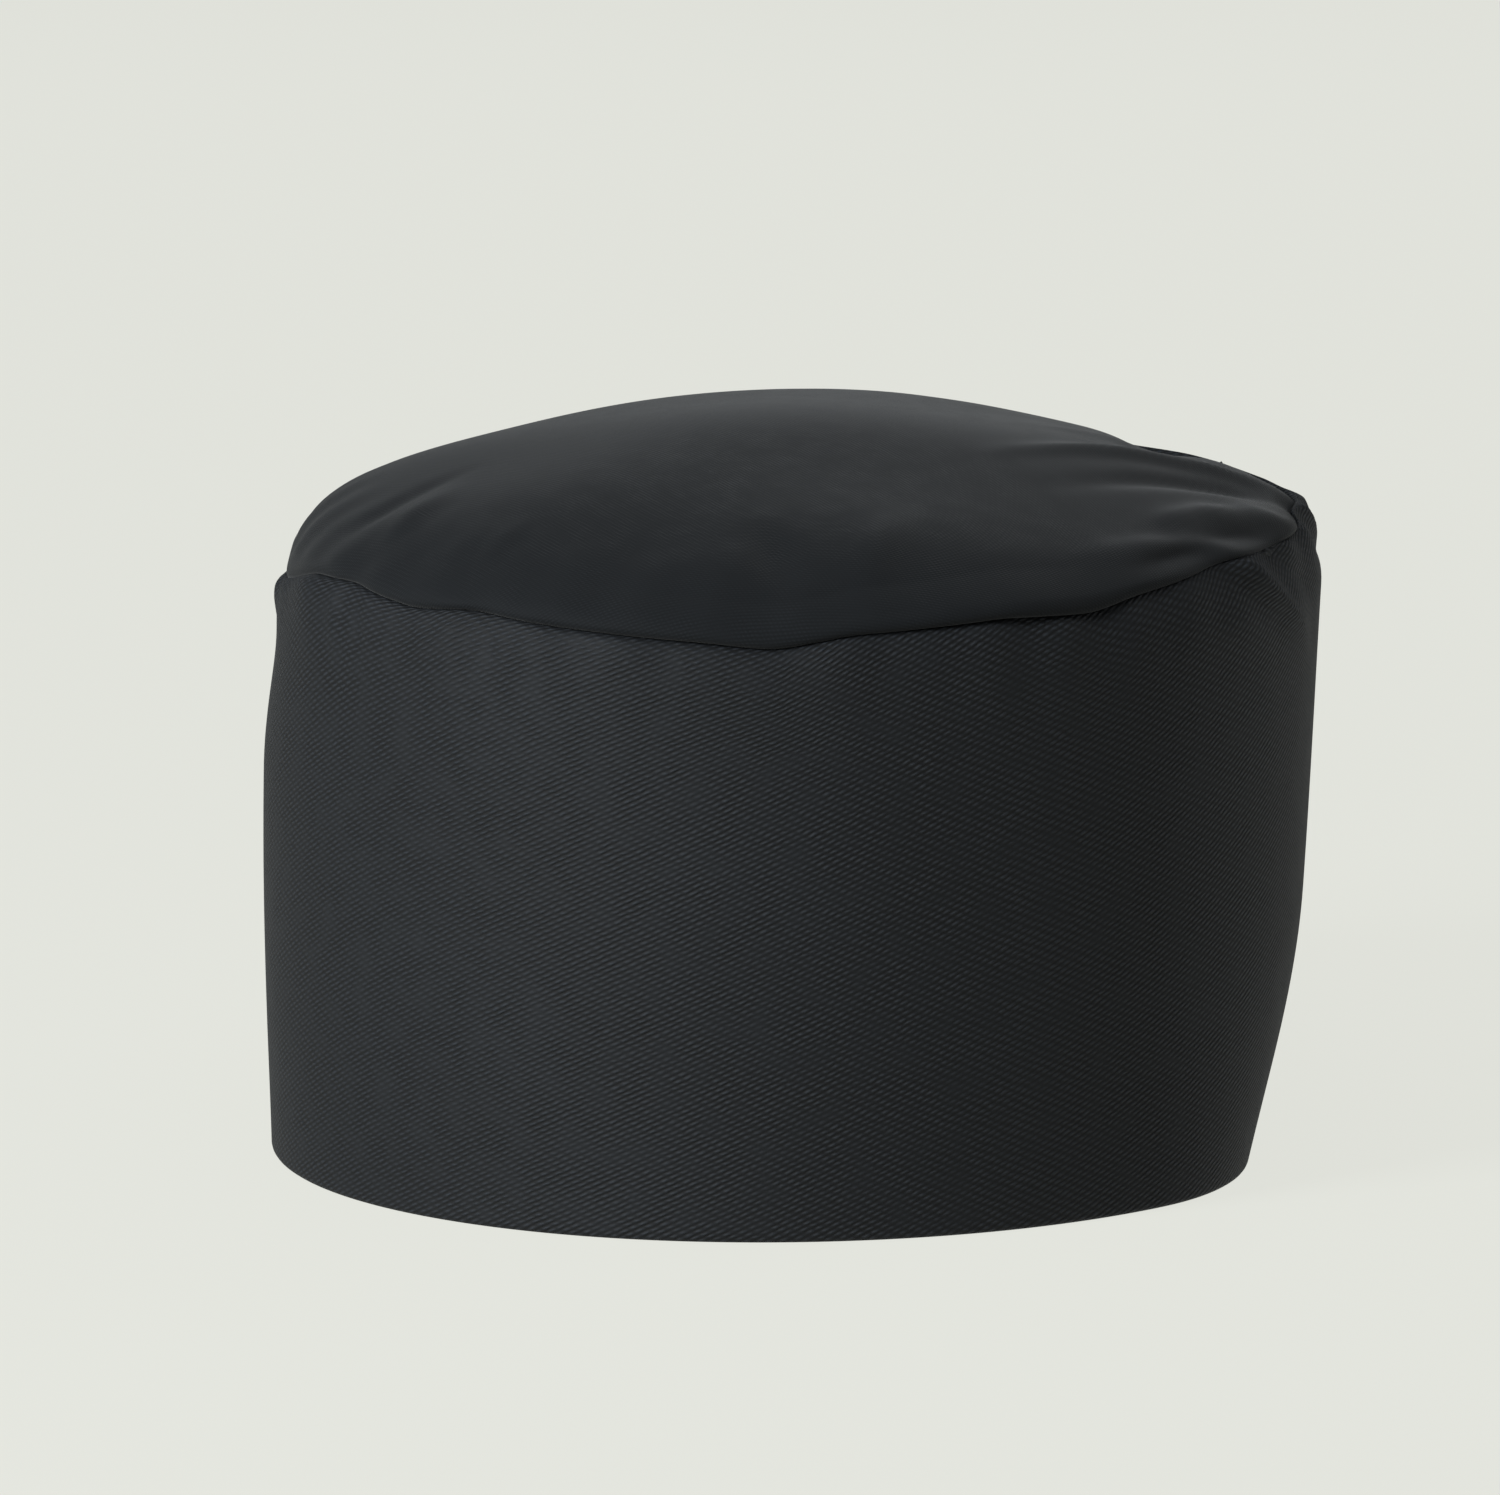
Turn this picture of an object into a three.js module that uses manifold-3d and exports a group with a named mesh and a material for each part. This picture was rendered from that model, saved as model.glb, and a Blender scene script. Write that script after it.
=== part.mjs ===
// A low chef's cap of the pillbox kind: a stiff band of black twill with a soft round crown, a towelling
// sweatband inside the front, and a slit at the back that a hook-and-loop strap draws together.
// Millimetres, +Z up. The hem stands on z = 0, the wearer faces -Y, and the origin is under the middle of the crown.
//
// Every piece is first laid out flat or turned on a lathe, in the three numbers a cap maker would use, and
// place() then puts it on the cap: the angle round the head from the forehead, the height above the hem, and
// the depth in from the outside of the band. Pieces outside the band have a negative depth.
import * as THREE from "three";
import { mergeVertices } from "three/addons/utils/BufferGeometryUtils.js";
import Module from "manifold-3d";

// Overall sizes
const capLength = 210; // forehead to nape, outside the band
const capWidth = 194; // over the ears, outside the band
const bandHeight = 116.5; // hem to rim at the forehead
const napeRise = 9; // the rim stands this much higher at the nape
const earDip = 3; // and dips this much over the ears
const crownRise = 30.5; // middle of the crown above the rim at the forehead
const crownFall = 20; // the soft dome falls this much towards its edge, before its shoulder rolls down to the seam

// How the fastened strap draws the hem in at the back
const napeDraw = 27; // at the hem, in the middle of the back
const napeFlat = 12; // degrees to each side of the nape that are drawn in the whole way
const drawnSpan = 78; // degrees to each side of the nape that are drawn in at all
const slitShare = 0.56; // of the draw happens below the top of the slit, the rest up to the rim
const bandSwell = 1; // the band's outward bow at mid height

// Cloth and the gaps between its layers
const clothGap = 0.3;
const twill = 0.6;
const interlining = 0.4;
const strapCloth = 1.0; // two layers, bagged out
const tapeCloth = 0.9;
const towelling = 1.5;
const labelCloth = 0.5;
const thread = 0.4;

// Band
const hemLip = 8; // the shell is turned up inside the hem by this much
const rimRoll = 2; // radius of the rolled rim
const seamAllowance = 10; // shell and crown hang down inside the rim by this much
const slitHeight = 48;
const slitHalfWidth = 14;
const slitEdge = 2; // stitching and tapes keep this far from the edge of the slit

// Strap and its tapes, measured along the hem from the middle of the back, positive to the wearer's left
const strapHeight = 26;
const strapLow = 4;
const strapRoot = slitHalfWidth + slitEdge; // the sewn end starts here, just past the slit
const sewnEnd = 20;
const loopStart = slitHalfWidth + slitEdge; // the loop tape starts here on the other side
const loopLength = 46;
const hookStart = loopStart + 4;
const hookLength = 34;
const strapReach = hookStart + hookLength + 3; // the free end passes the middle of the back by this much
const tapeMargin = 1.5; // each tape is this much narrower than what it is sewn to
const foldGap = 0.8; // between the sewn end and the part of the strap that swings

// Inside
const sweatSpan = 104; // degrees to each side of the forehead
const sweatLow = 3;
const sweatHeight = 33;
const bindingWidth = 7;
const bindingCloth = 0.5;
const labelWidth = 24;
const labelDrop = 38;
const labelAngle = 206; // degrees from the forehead

const ringSteps = 72; // facets round the cap
const radians = Math.PI / 180;
const halfLength = capLength / 2;
const halfWidth = capWidth / 2;
const lathe = Math.max(halfLength, halfWidth); // radius the rings are turned at before they are placed

// Depths of the layers in from the outside of the band
const interliningDepth = twill + clothGap;
const liningDepth = interliningDepth + interlining + clothGap;
const liningInside = liningDepth + twill;
const shellAllowanceInside = 2 * rimRoll;
const crownSkirtDepth = shellAllowanceInside + clothGap;
const bindingInside = crownSkirtDepth + twill + clothGap + bindingCloth;

const clamp01 = (t) => Math.min(1, Math.max(0, t));
const smooth = (t) => clamp01(t) ** 2 * (3 - 2 * clamp01(t));

// How far the strap draws the band in at this angle and height: most across the back at the hem, easing off
// round the head and up the slit.
function draw(angle, height) {
  const fromNape = Math.abs(Math.atan2(Math.sin(angle - Math.PI), Math.cos(angle - Math.PI)));
  const across = smooth((drawnSpan - fromNape / radians) / (drawnSpan - napeFlat));
  const slitPart = slitShare * clamp01(1 - height / slitHeight) ** 2;
  const upperPart = (1 - slitShare) * clamp01(1 - height / bandHeight);
  return napeDraw * across * (slitPart + upperPart);
}

// How much higher than at the forehead the rim stands at this angle.
function rimRise(angle) {
  return (napeRise * (1 - Math.cos(angle))) / 2 - earDip * Math.sin(angle) ** 2;
}

// How strongly the seam holds the crown down at this share of the way out from its middle: 0 in the middle,
// and 1 at the seam. The crown's shoulder rolls over in the last stretch.
function seamHold(out) {
  return 1 - (1 - out ** 12) ** 0.4;
}

// The point of the cap at an angle from the forehead towards the wearer's left, a height above the hem and a
// depth in from the outside of the band. Past the crown's own seam, a depth shrinks towards the middle of the crown.
function place(angle, height, depth) {
  const out = clamp01((lathe - depth) / (lathe - crownSkirtDepth));
  const straight = clamp01((lathe - depth) / (lathe - bindingInside)); // 1 in every layer of the band
  const ring = Math.min(depth, bindingInside);
  const across = new THREE.Vector2(halfLength * Math.sin(angle), -halfWidth * Math.cos(angle)).normalize();
  const swell = bandSwell * Math.sin(Math.PI * clamp01(height / bandHeight));
  const inward = ring + draw(angle, height) - swell;
  const held = height > bandHeight ? seamHold(out) : 1;
  const rise = rimRise(angle) * smooth(height / bandHeight) * held;
  return new THREE.Vector3(
    (halfWidth * Math.sin(angle) - inward * across.x) * straight,
    (-halfLength * Math.cos(angle) - inward * across.y) * straight,
    height + rise,
  );
}

// The angle reached by walking along the outside of the band from the nape, positive to the wearer's left.
function angleFromNape(along, height) {
  const step = 0.25 * Math.sign(along || 1);
  let angle = Math.PI;
  let left = Math.abs(along);
  let at = place(angle, height, 0);
  while (left > 0) {
    const next = place(angle - step * radians, height, 0);
    const walked = next.distanceTo(at);
    angle -= step * radians * Math.min(1, left / walked);
    left -= walked;
    at = next;
  }
  return angle;
}

// Moves every vertex of a geometry by a function of its position, and leaves only the positions.
function moved(geometry, move) {
  const position = geometry.getAttribute("position");
  for (let i = 0; i < position.count; i++) {
    const to = move(new THREE.Vector3().fromBufferAttribute(position, i));
    position.setXYZ(i, to.x, to.y, to.z);
  }
  geometry.deleteAttribute("normal");
  geometry.deleteAttribute("uv");
  return mergeVertices(geometry, 1e-4);
}

// A closed profile of [depth, height] points, turned right round the cap.
function ring(profile) {
  const points = [...profile, profile[0]].map(([depth, height]) => new THREE.Vector2(lathe - depth, height));
  const turned = new THREE.LatheGeometry(points, ringSteps);
  return moved(turned, (p) => place(Math.atan2(p.x, p.z), p.y, lathe - Math.hypot(p.x, p.z)));
}

// A strip of cloth between two angles and two heights. depth is a number, or a function of how far along it is.
function strip({ from, to, low, high, depth, thickness, alongSteps = 8, upSteps = 2, slant = 0, shape = () => 1 }) {
  const depthAt = typeof depth === "function" ? depth : () => depth;
  const flat = new THREE.BoxGeometry(1, thickness, 1, alongSteps, 1, upSteps);
  const middle = (low + high) / 2;
  return moved(flat, (p) => {
    const along = p.x + 0.5;
    const height = middle + (high - low) * (p.z * shape(along) + slant * (along - 0.5));
    return place(from + (to - from) * along, height, depthAt(along) + thickness / 2 + p.y);
  });
}

const wasm = await Module();
wasm.setup();

function solid(geometry) {
  const mesh = new wasm.Mesh({
    numProp: 3,
    vertProperties: new Float32Array(geometry.getAttribute("position").array),
    triVerts: new Uint32Array(geometry.index.array),
  });
  return new wasm.Manifold(mesh);
}

function geometryOf(made) {
  const mesh = made.getMesh();
  return new THREE.BufferGeometry()
    .setAttribute("position", new THREE.BufferAttribute(new Float32Array(mesh.vertProperties), 3))
    .setIndex(new THREE.BufferAttribute(new Uint32Array(mesh.triVerts), 1));
}

// The slit is an arch at the nape: half an ellipse on legs that reach below the hem, so that the cut leaves no
// skin there. It is raised with the band round it.
function slit(margin) {
  const wide = slitHalfWidth + margin;
  const outline = new THREE.Shape();
  outline.moveTo(-wide, -slitEdge);
  outline.lineTo(wide, -slitEdge);
  outline.absellipse(0, 0, wide, slitHeight + margin, 0, Math.PI);
  const prism = new THREE.ExtrudeGeometry(outline, { depth: halfLength, bevelEnabled: false, curveSegments: 12 });
  const raised = (height) => height + rimRise(Math.PI) * smooth(height / bandHeight);
  return solid(moved(prism, (p) => new THREE.Vector3(-p.x, halfLength / 2 + p.z, raised(p.y))));
}

const slitOpen = slit(0);
const slitTurned = slit(hemLip / 2); // the interlining stops short of the shell's turned edges

// Rows between hem and rim: close together where the slit lets the band draw in, one more above it
const heights = [0.1, 0.2, 0.32, 0.48, 0.7, 1].map((share) => share * slitHeight);
heights.push((slitHeight + bandHeight) / 2);
const upwards = (depth, foot = 0) => heights.filter((height) => height > foot).map((height) => [depth, height]);
const downwards = (depth, foot = 0) => upwards(depth, foot).reverse();

// Rounded fold at the rim, from one depth over to another.
function fold(from, to, top) {
  const radius = (to - from) / 2;
  const steps = 4;
  return Array.from({ length: steps + 1 }, (_, i) => {
    const turn = (Math.PI * i) / steps;
    return [from + radius * (1 - Math.cos(turn)), top - radius + radius * Math.sin(turn)];
  });
}

// Outer twill: up the outside, over the rim and down as its seam allowance, and turned up inside the hem.
function bandShell() {
  const profile = [
    [0, 0],
    ...upwards(0),
    ...fold(0, shellAllowanceInside, bandHeight),
    [shellAllowanceInside, bandHeight - seamAllowance],
    [shellAllowanceInside - twill, bandHeight - seamAllowance],
    ...fold(twill, shellAllowanceInside - twill, bandHeight - twill).reverse(),
    ...downwards(twill),
    [twill, twill],
    [liningDepth, twill],
    [liningDepth, hemLip],
    [liningInside, hemLip],
    [liningInside, 0],
  ];
  return geometryOf(solid(ring(profile)).subtract(slitOpen));
}

const layerTop = bandHeight - rimRoll; // interlining and lining stop where the rim starts to roll

function bandInterlining() {
  const inside = interliningDepth + interlining;
  const bottom = twill + clothGap;
  const profile = [
    [interliningDepth, bottom],
    ...upwards(interliningDepth),
    [interliningDepth, layerTop],
    [inside, layerTop],
    ...downwards(inside),
    [inside, bottom],
  ];
  return geometryOf(solid(ring(profile)).subtract(slitTurned));
}

function bandLining() {
  const bottom = hemLip + clothGap;
  const profile = [
    [liningDepth, bottom],
    ...upwards(liningDepth, bottom),
    [liningDepth, layerTop],
    [liningInside, layerTop],
    ...downwards(liningInside, bottom),
    [liningInside, bottom],
  ];
  return geometryOf(solid(ring(profile)).subtract(slitOpen));
}

// Height of the crown's outside above the hem at a depth in from the band, at the forehead: a shallow dome
// whose shoulder rolls down to the seam, just below the top of the rim.
function crownHeight(depth) {
  const out = clamp01((lathe - depth) / (lathe - crownSkirtDepth));
  const seam = bandHeight - rimRoll / 2;
  const dome = bandHeight + crownRise - crownFall * out ** 2;
  return seam + (dome - seam) * (1 - seamHold(out));
}

// Round crown panel with its allowance hanging inside the shell's.
function crownPanel() {
  const skirtFoot = bandHeight - seamAllowance;
  const inwards = [0, 0.015, 0.05, 0.12, 0.24, 0.42, 0.62, 0.82]; // shares of the way to the middle
  const depths = inwards.map((share) => crownSkirtDepth + share * (lathe - crownSkirtDepth));
  const outside = depths.map((depth) => [depth, crownHeight(depth)]);
  const inside = depths.slice(1).map((depth) => [depth, crownHeight(depth) - twill]);
  const profile = [
    [crownSkirtDepth, skirtFoot],
    ...outside,
    [lathe, crownHeight(lathe)],
    [lathe, crownHeight(lathe) - twill],
    ...inside.reverse(),
    [crownSkirtDepth + twill, crownHeight(crownSkirtDepth) - twill],
    [crownSkirtDepth + twill, skirtFoot],
  ];
  const points = profile.map(([depth, height]) => new THREE.Vector2(lathe - depth, height));
  points.push(points[0]);
  const turned = new THREE.LatheGeometry(points, ringSteps);
  return moved(turned, (p) => place(Math.atan2(p.x, p.z), p.y, lathe - Math.hypot(p.x, p.z)));
}

// Tape folded over the two hanging seam allowances.
function crownSeamBinding() {
  const outside = shellAllowanceInside - twill - clothGap - bindingCloth;
  const foot = bandHeight - seamAllowance - clothGap;
  const top = foot + bindingWidth;
  return ring([
    [outside, foot - bindingCloth],
    [outside, top],
    [outside + bindingCloth, top],
    [outside + bindingCloth, foot],
    [bindingInside - bindingCloth, foot],
    [bindingInside - bindingCloth, top],
    [bindingInside, top],
    [bindingInside, foot - bindingCloth],
  ]);
}

const bindingTop = bandHeight - seamAllowance - clothGap + bindingWidth;
const sweatFace = liningInside + clothGap + towelling; // depth of the sweatband's inner face
const sweatTop = sweatLow + sweatHeight;

function sweatband() {
  return strip({
    from: -sweatSpan * radians,
    to: sweatSpan * radians,
    low: sweatLow,
    high: sweatTop,
    depth: liningInside + clothGap,
    thickness: towelling,
    alongSteps: 44,
    upSteps: 2,
  });
}

// A row of stitching on the inside of the sweatband, at a height.
function sweatStitch(height) {
  const short = 0.98; // the row stops just before the sweatband's ends
  return strip({
    from: -sweatSpan * short * radians,
    to: sweatSpan * short * radians,
    low: height - thread / 2,
    high: height + thread / 2,
    depth: sweatFace + clothGap,
    thickness: thread,
    alongSteps: 44,
    upSteps: 1,
  });
}

// A dense bar of stitching across one end of the sweatband; side is 1 on the wearer's left and -1 on the right.
function sweatBarTack(side) {
  const tackWidth = 2;
  const turn = tackWidth / halfLength;
  const end = side * (sweatSpan * radians - 2 * turn);
  return strip({
    from: end - turn / 2,
    to: end + turn / 2,
    low: sweatLow + sweatHeight / 2 - 6,
    high: sweatLow + sweatHeight / 2 + 6,
    depth: sweatFace + clothGap,
    thickness: 2 * thread,
    alongSteps: 1,
  });
}

const bindingStitch = () => {
  const low = bindingTop - 1.5;
  const outer = bindingInside + clothGap;
  return ring([
    [outer, low],
    [outer, low + thread],
    [outer + thread, low + thread],
    [outer + thread, low],
  ]);
};

// Back closure. Places along the strap are in millimetres from the middle of the back.
const strapMiddle = strapLow + strapHeight / 2;
const backAngle = (along) => angleFromNape(along, strapMiddle);
const loopDepth = -clothGap - tapeCloth;
const hookDepth = loopDepth - clothGap - tapeCloth;
const strapFreeDepth = hookDepth - clothGap - strapCloth;
const strapSewnDepth = -clothGap - strapCloth;

function backStrip(start, end, low, high, rest) {
  return strip({ from: backAngle(start), to: backAngle(end), low, high, ...rest });
}

function strapSewnEnd() {
  const layer = { depth: strapSewnDepth, thickness: strapCloth, alongSteps: 5, upSteps: 6 };
  return backStrip(strapRoot + sewnEnd, strapRoot, strapLow, strapLow + strapHeight, layer);
}

// The part of the strap that peels away: it rises over the tapes and ends in rounded corners.
function closureStrap() {
  const start = strapRoot - foldGap;
  const length = start + strapReach;
  const corner = strapHeight / 2;
  const lifted = (start + loopStart) / length; // share of its length over which it rises onto the tapes
  return backStrip(start, -strapReach, strapLow, strapLow + strapHeight, {
    depth: (along) => strapSewnDepth + (strapFreeDepth - strapSewnDepth) * smooth(along / lifted),
    thickness: strapCloth,
    alongSteps: 24,
    upSteps: 6,
    shape: (along) => {
      const past = clamp01(1 - ((1 - along) * length) / corner);
      return 0.55 + 0.45 * Math.sqrt(1 - 0.98 * past ** 2);
    },
  });
}

const loopTape = () =>
  backStrip(-loopStart, -loopStart - loopLength, strapLow, strapLow + strapHeight - tapeMargin, {
    depth: loopDepth,
    thickness: tapeCloth,
    alongSteps: 10,
    upSteps: 6,
  });

const hookLow = strapLow + 2 * tapeMargin;
const hookHigh = strapLow + strapHeight - 2 * tapeMargin;
const hookTape = () =>
  backStrip(-hookStart, -hookStart - hookLength, hookLow, hookHigh, {
    depth: hookDepth,
    thickness: tapeCloth,
    alongSteps: 8,
    upSteps: 5,
  });

// A line of stitching round an oblong, with a cross inside it if crossed is true.
function boxStitch(start, end, low, high, depth, crossed) {
  const rest = { thickness: thread, alongSteps: 8, upSteps: 5, depth };
  const inset = thread * Math.sign(end - start);
  const deeper = { thickness: 3 * thread, alongSteps: 8, upSteps: 5, depth: depth - thread };
  const outer = solid(backStrip(start, end, low, high, rest));
  const inner = solid(backStrip(start + inset, end - inset, low + thread, high - thread, deeper));
  const frame = outer.subtract(inner);
  if (!crossed) return geometryOf(frame);
  const middle = (low + high) / 2;
  const bars = [1, -1].map((sign) => {
    const slant = (sign * (high - low - thread)) / thread;
    const bar = { ...rest, slant, upSteps: 1 };
    return solid(backStrip(start, end, middle - thread / 2, middle + thread / 2, bar));
  });
  return geometryOf(frame.add(bars[0]).add(bars[1]));
}

const stitchMargin = 2.5;
const strapBoxStitch = () =>
  boxStitch(
    strapRoot + sewnEnd - stitchMargin,
    strapRoot + stitchMargin,
    strapLow + stitchMargin,
    strapLow + strapHeight - stitchMargin,
    strapSewnDepth - clothGap - thread,
    true,
  );

// The loop tape's stitching shows only past the end of the strap, so it is a bar tack down the tape's far end.
const loopTapeStitch = () => {
  const far = -loopStart - loopLength + 1.5;
  return backStrip(far, far - thread, strapLow + tapeMargin, strapLow + strapHeight - 2 * tapeMargin, {
    depth: loopDepth - clothGap - thread,
    thickness: thread,
    alongSteps: 1,
    upSteps: 4,
  });
};

// The hook tape's stitching goes through the strap and shows on its outside.
const hookTapeStitch = () =>
  boxStitch(
    -hookStart - 1,
    -hookStart - hookLength + 1,
    hookLow + 1,
    hookHigh - 1,
    strapFreeDepth - clothGap - thread,
    false,
  );

// The row of stitching that holds the slit's turned edge, where it shows above the strap.
function slitStitchRow() {
  const low = strapLow + strapHeight + 1;
  const high = slitHeight + 2 * slitEdge;
  const rows = [low, ...heights.filter((height) => height > low && height < high), high];
  const sheath = ring([
    ...rows.map((height) => [-clothGap - thread, height]),
    ...rows.reverse().map((height) => [-clothGap, height]),
  ]);
  return geometryOf(solid(sheath).intersect(slit(slitEdge / 2 + thread).subtract(slit(slitEdge / 2))));
}

const slitBarTack = () =>
  backStrip(5, -5, slitHeight + 1.5 * slitEdge, slitHeight + 2.5 * slitEdge, {
    depth: -clothGap - thread,
    thickness: thread,
    alongSteps: 2,
    upSteps: 1,
  });

// Woven label hanging from the binding; it swings on its top edge.
function careLabel() {
  const turn = labelWidth / halfWidth / 2;
  const top = bindingTop - 1.5 - clothGap;
  return strip({
    from: labelAngle * radians - turn,
    to: labelAngle * radians + turn,
    low: top - labelDrop,
    high: top,
    depth: bindingInside + clothGap,
    thickness: labelCloth,
    alongSteps: 4,
    upSteps: 2,
  });
}

const cloth = (color, roughness = 0.9) => new THREE.MeshStandardMaterial({ color, roughness, metalness: 0 });
const blackTwill = cloth(0x2b2d2f);
const blackLining = cloth(0x26282a);
const greyInterlining = cloth(0x8b8d8e, 0.95);
const blackBinding = cloth(0x1f2022);
const blackTowelling = cloth(0x232426, 1);
const hookBlack = cloth(0x161718, 0.6);
const loopBlack = cloth(0x1b1c1e, 1);
const blackThread = cloth(0x17181a, 0.7);
const whiteSatin = cloth(0xe6e5df, 0.5);

const cap = new THREE.Group();

function add(name, geometry, material) {
  const mesh = new THREE.Mesh(geometry, material);
  mesh.name = name;
  cap.add(mesh);
}

add("crown_panel", crownPanel(), blackTwill);
add("band_shell", bandShell(), blackTwill);
add("band_interlining", bandInterlining(), greyInterlining);
add("band_lining", bandLining(), blackLining);
add("crown_seam_binding", crownSeamBinding(), blackBinding);
add("binding_stitch_row", bindingStitch(), blackThread);
add("sweatband", sweatband(), blackTowelling);
add("sweatband_stitch_upper", sweatStitch(sweatTop - 2), blackThread);
add("sweatband_stitch_lower", sweatStitch(sweatLow + 2), blackThread);
add("sweatband_bar_tack_left", sweatBarTack(1), blackThread);
add("sweatband_bar_tack_right", sweatBarTack(-1), blackThread);
add("slit_stitch_row", slitStitchRow(), blackThread);
add("slit_bar_tack", slitBarTack(), blackThread);
add("strap_sewn_end", strapSewnEnd(), blackTwill);
add("strap_box_stitch", strapBoxStitch(), blackThread);
add("closure_strap", closureStrap(), blackTwill);
add("hook_tape", hookTape(), hookBlack);
add("hook_tape_stitch", hookTapeStitch(), blackThread);
add("loop_tape", loopTape(), loopBlack);
add("loop_tape_stitch", loopTapeStitch(), blackThread);
add("care_label", careLabel(), whiteSatin);

// The origin is under the middle of the whole cap
const middle = new THREE.Box3().setFromObject(cap).getCenter(new THREE.Vector3());
cap.position.set(-middle.x, -middle.y, 0);

export default cap;
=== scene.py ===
# %% [markdown]
# # A low chef's cap
# The cap is a pillbox: a stiff band of black twill, a soft round crown sewn to its rim, a towelling
# sweatband inside the front, and a slit at the back that a hook-and-loop strap draws together. Every
# piece here is a sheet of cloth, so the lesson is about bending flat grids into a cap and about making
# black cloth look like cloth. We start by loading the CAD model, which fixes where everything is.

# %% Load the fixed frame
import math
import bpy
import numpy as np
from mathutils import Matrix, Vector


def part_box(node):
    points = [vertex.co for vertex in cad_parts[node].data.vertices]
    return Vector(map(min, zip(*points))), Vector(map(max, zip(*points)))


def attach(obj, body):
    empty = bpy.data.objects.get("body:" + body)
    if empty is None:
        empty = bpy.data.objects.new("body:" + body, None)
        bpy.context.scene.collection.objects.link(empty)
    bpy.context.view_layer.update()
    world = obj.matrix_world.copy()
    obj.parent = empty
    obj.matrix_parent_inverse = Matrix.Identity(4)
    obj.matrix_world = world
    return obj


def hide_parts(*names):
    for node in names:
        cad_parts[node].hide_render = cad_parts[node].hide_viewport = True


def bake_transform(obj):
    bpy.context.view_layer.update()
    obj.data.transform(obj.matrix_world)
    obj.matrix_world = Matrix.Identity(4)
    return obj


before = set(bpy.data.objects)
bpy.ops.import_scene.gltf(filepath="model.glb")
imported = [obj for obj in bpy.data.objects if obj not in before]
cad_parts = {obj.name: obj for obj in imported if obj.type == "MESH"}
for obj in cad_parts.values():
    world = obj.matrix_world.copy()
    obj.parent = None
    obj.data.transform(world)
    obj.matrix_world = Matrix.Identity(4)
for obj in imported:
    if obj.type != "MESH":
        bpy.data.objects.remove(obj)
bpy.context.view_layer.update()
mm = 0.001

# %% [markdown]
# ## The cap's own coordinates
# A cap maker places things by three numbers: the angle round the head from the forehead, the height above
# the hem, and the depth in from the outside of the band. One function turns those three into a point, and
# every layer of cloth goes through it, so layers that lie on each other stay on each other. The hem is
# drawn in at the back by the strap, the rim stands a little higher at the nape than at the forehead, and
# it dips over the ears.

# %% Sizes of the cap, from the frame
band_low, band_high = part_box("band_shell")
crown_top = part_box("crown_panel")[1].z
band_swell = 1.0 * mm  # the band bows outwards by this much at mid height
half_width = (band_high.x - band_low.x) / 2 - band_swell
half_length = (band_high.y - band_low.y) / 2 - 0.4 * mm
middle_y = (band_high.y + band_low.y) / 2
nape_rise = 9 * mm
ear_dip = 3 * mm
rim = band_high.z - nape_rise  # height of the rim at the forehead
nape_draw = 27 * mm
nape_flat = math.radians(12)
drawn_span = math.radians(78)
slit_height = 48 * mm
slit_half_width = 14 * mm
slit_share = 0.56
print("rim at the forehead", round(rim / mm, 1), "mm; crown", round(crown_top / mm, 1), "mm")

# %% The function that places everything
def smooth(t):
    """Eases from 0 to 1: t squared times (3 minus 2 t), for t held between 0 and 1."""
    t = np.clip(t, 0, 1)
    return t * t * (3 - 2 * t)


def nape_distance(angle):
    """Angle to the middle of the back, 0 there and pi at the forehead."""
    return np.abs(np.arctan2(np.sin(angle - np.pi), np.cos(angle - np.pi)))


def drawn_in(angle, height):
    """How far the strap draws the band in: most across the back at the hem, easing off round the head,
    and upwards as a square up to the top of the slit and a straight line up to the rim."""
    across = smooth((drawn_span - nape_distance(angle)) / (drawn_span - nape_flat))
    slit_part = slit_share * np.clip(1 - height / slit_height, 0, 1) ** 2
    upper_part = (1 - slit_share) * np.clip(1 - height / rim, 0, 1)
    return nape_draw * across * (slit_part + upper_part)


def rim_rise(angle):
    """Height of the rim above its height at the forehead."""
    return nape_rise * (1 - np.cos(angle)) / 2 - ear_dip * np.sin(angle) ** 2


def outwards(angle):
    """Unit vector pointing out of the band at an angle, flat: the ellipse's own normal."""
    normal = np.stack([np.sin(angle) / half_width, -np.cos(angle) / half_length], -1)
    return normal / np.linalg.norm(normal, axis=-1, keepdims=True)


def on_cap(angle, height, depth):
    """The point at an angle from the forehead towards the wearer's left, a height above the hem and a
    depth in from the outside of the band: an ellipse, moved along its normal by depth, draw and swell."""
    angle, height, depth = np.broadcast_arrays(angle, height, depth)
    out = outwards(angle)
    share = np.clip(height / rim, 0, 1)
    inward = depth + drawn_in(angle, height) - band_swell * np.sin(np.pi * share)
    x = half_width * np.sin(angle) - inward * out[..., 0]
    y = middle_y - half_length * np.cos(angle) - inward * out[..., 1]
    return np.stack([x, y, height + rim_rise(angle) * smooth(share)], -1)


# %% Walking along the band
angle_table = np.radians(np.linspace(-180, 180, 1441))
rim_line = on_cap(angle_table, 0.5 * rim, 0)
walked = np.concatenate([[0], np.cumsum(np.linalg.norm(np.diff(rim_line, axis=0), axis=1))])
walked_table = walked - np.interp(0, angle_table, walked)


def along_band(angle):
    """Length of cloth from the forehead to an angle, positive to the wearer's left."""
    return np.interp(angle, angle_table, walked_table)


print("once round the band:", round((walked_table[-1] - walked_table[0]) / mm), "mm")

# %% [markdown]
# ## From a grid of points to a sheet of cloth
# Every sheet is a grid of points computed at once with numpy. `surface` turns the grid into quads and
# stores the cloth's own flat coordinates, in metres, as a UV map, because a weave runs along the cloth
# and not along the room's axes. Solidify then gives the sheet its thickness on the hidden side, so that
# the visible side stays where it was computed.

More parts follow.
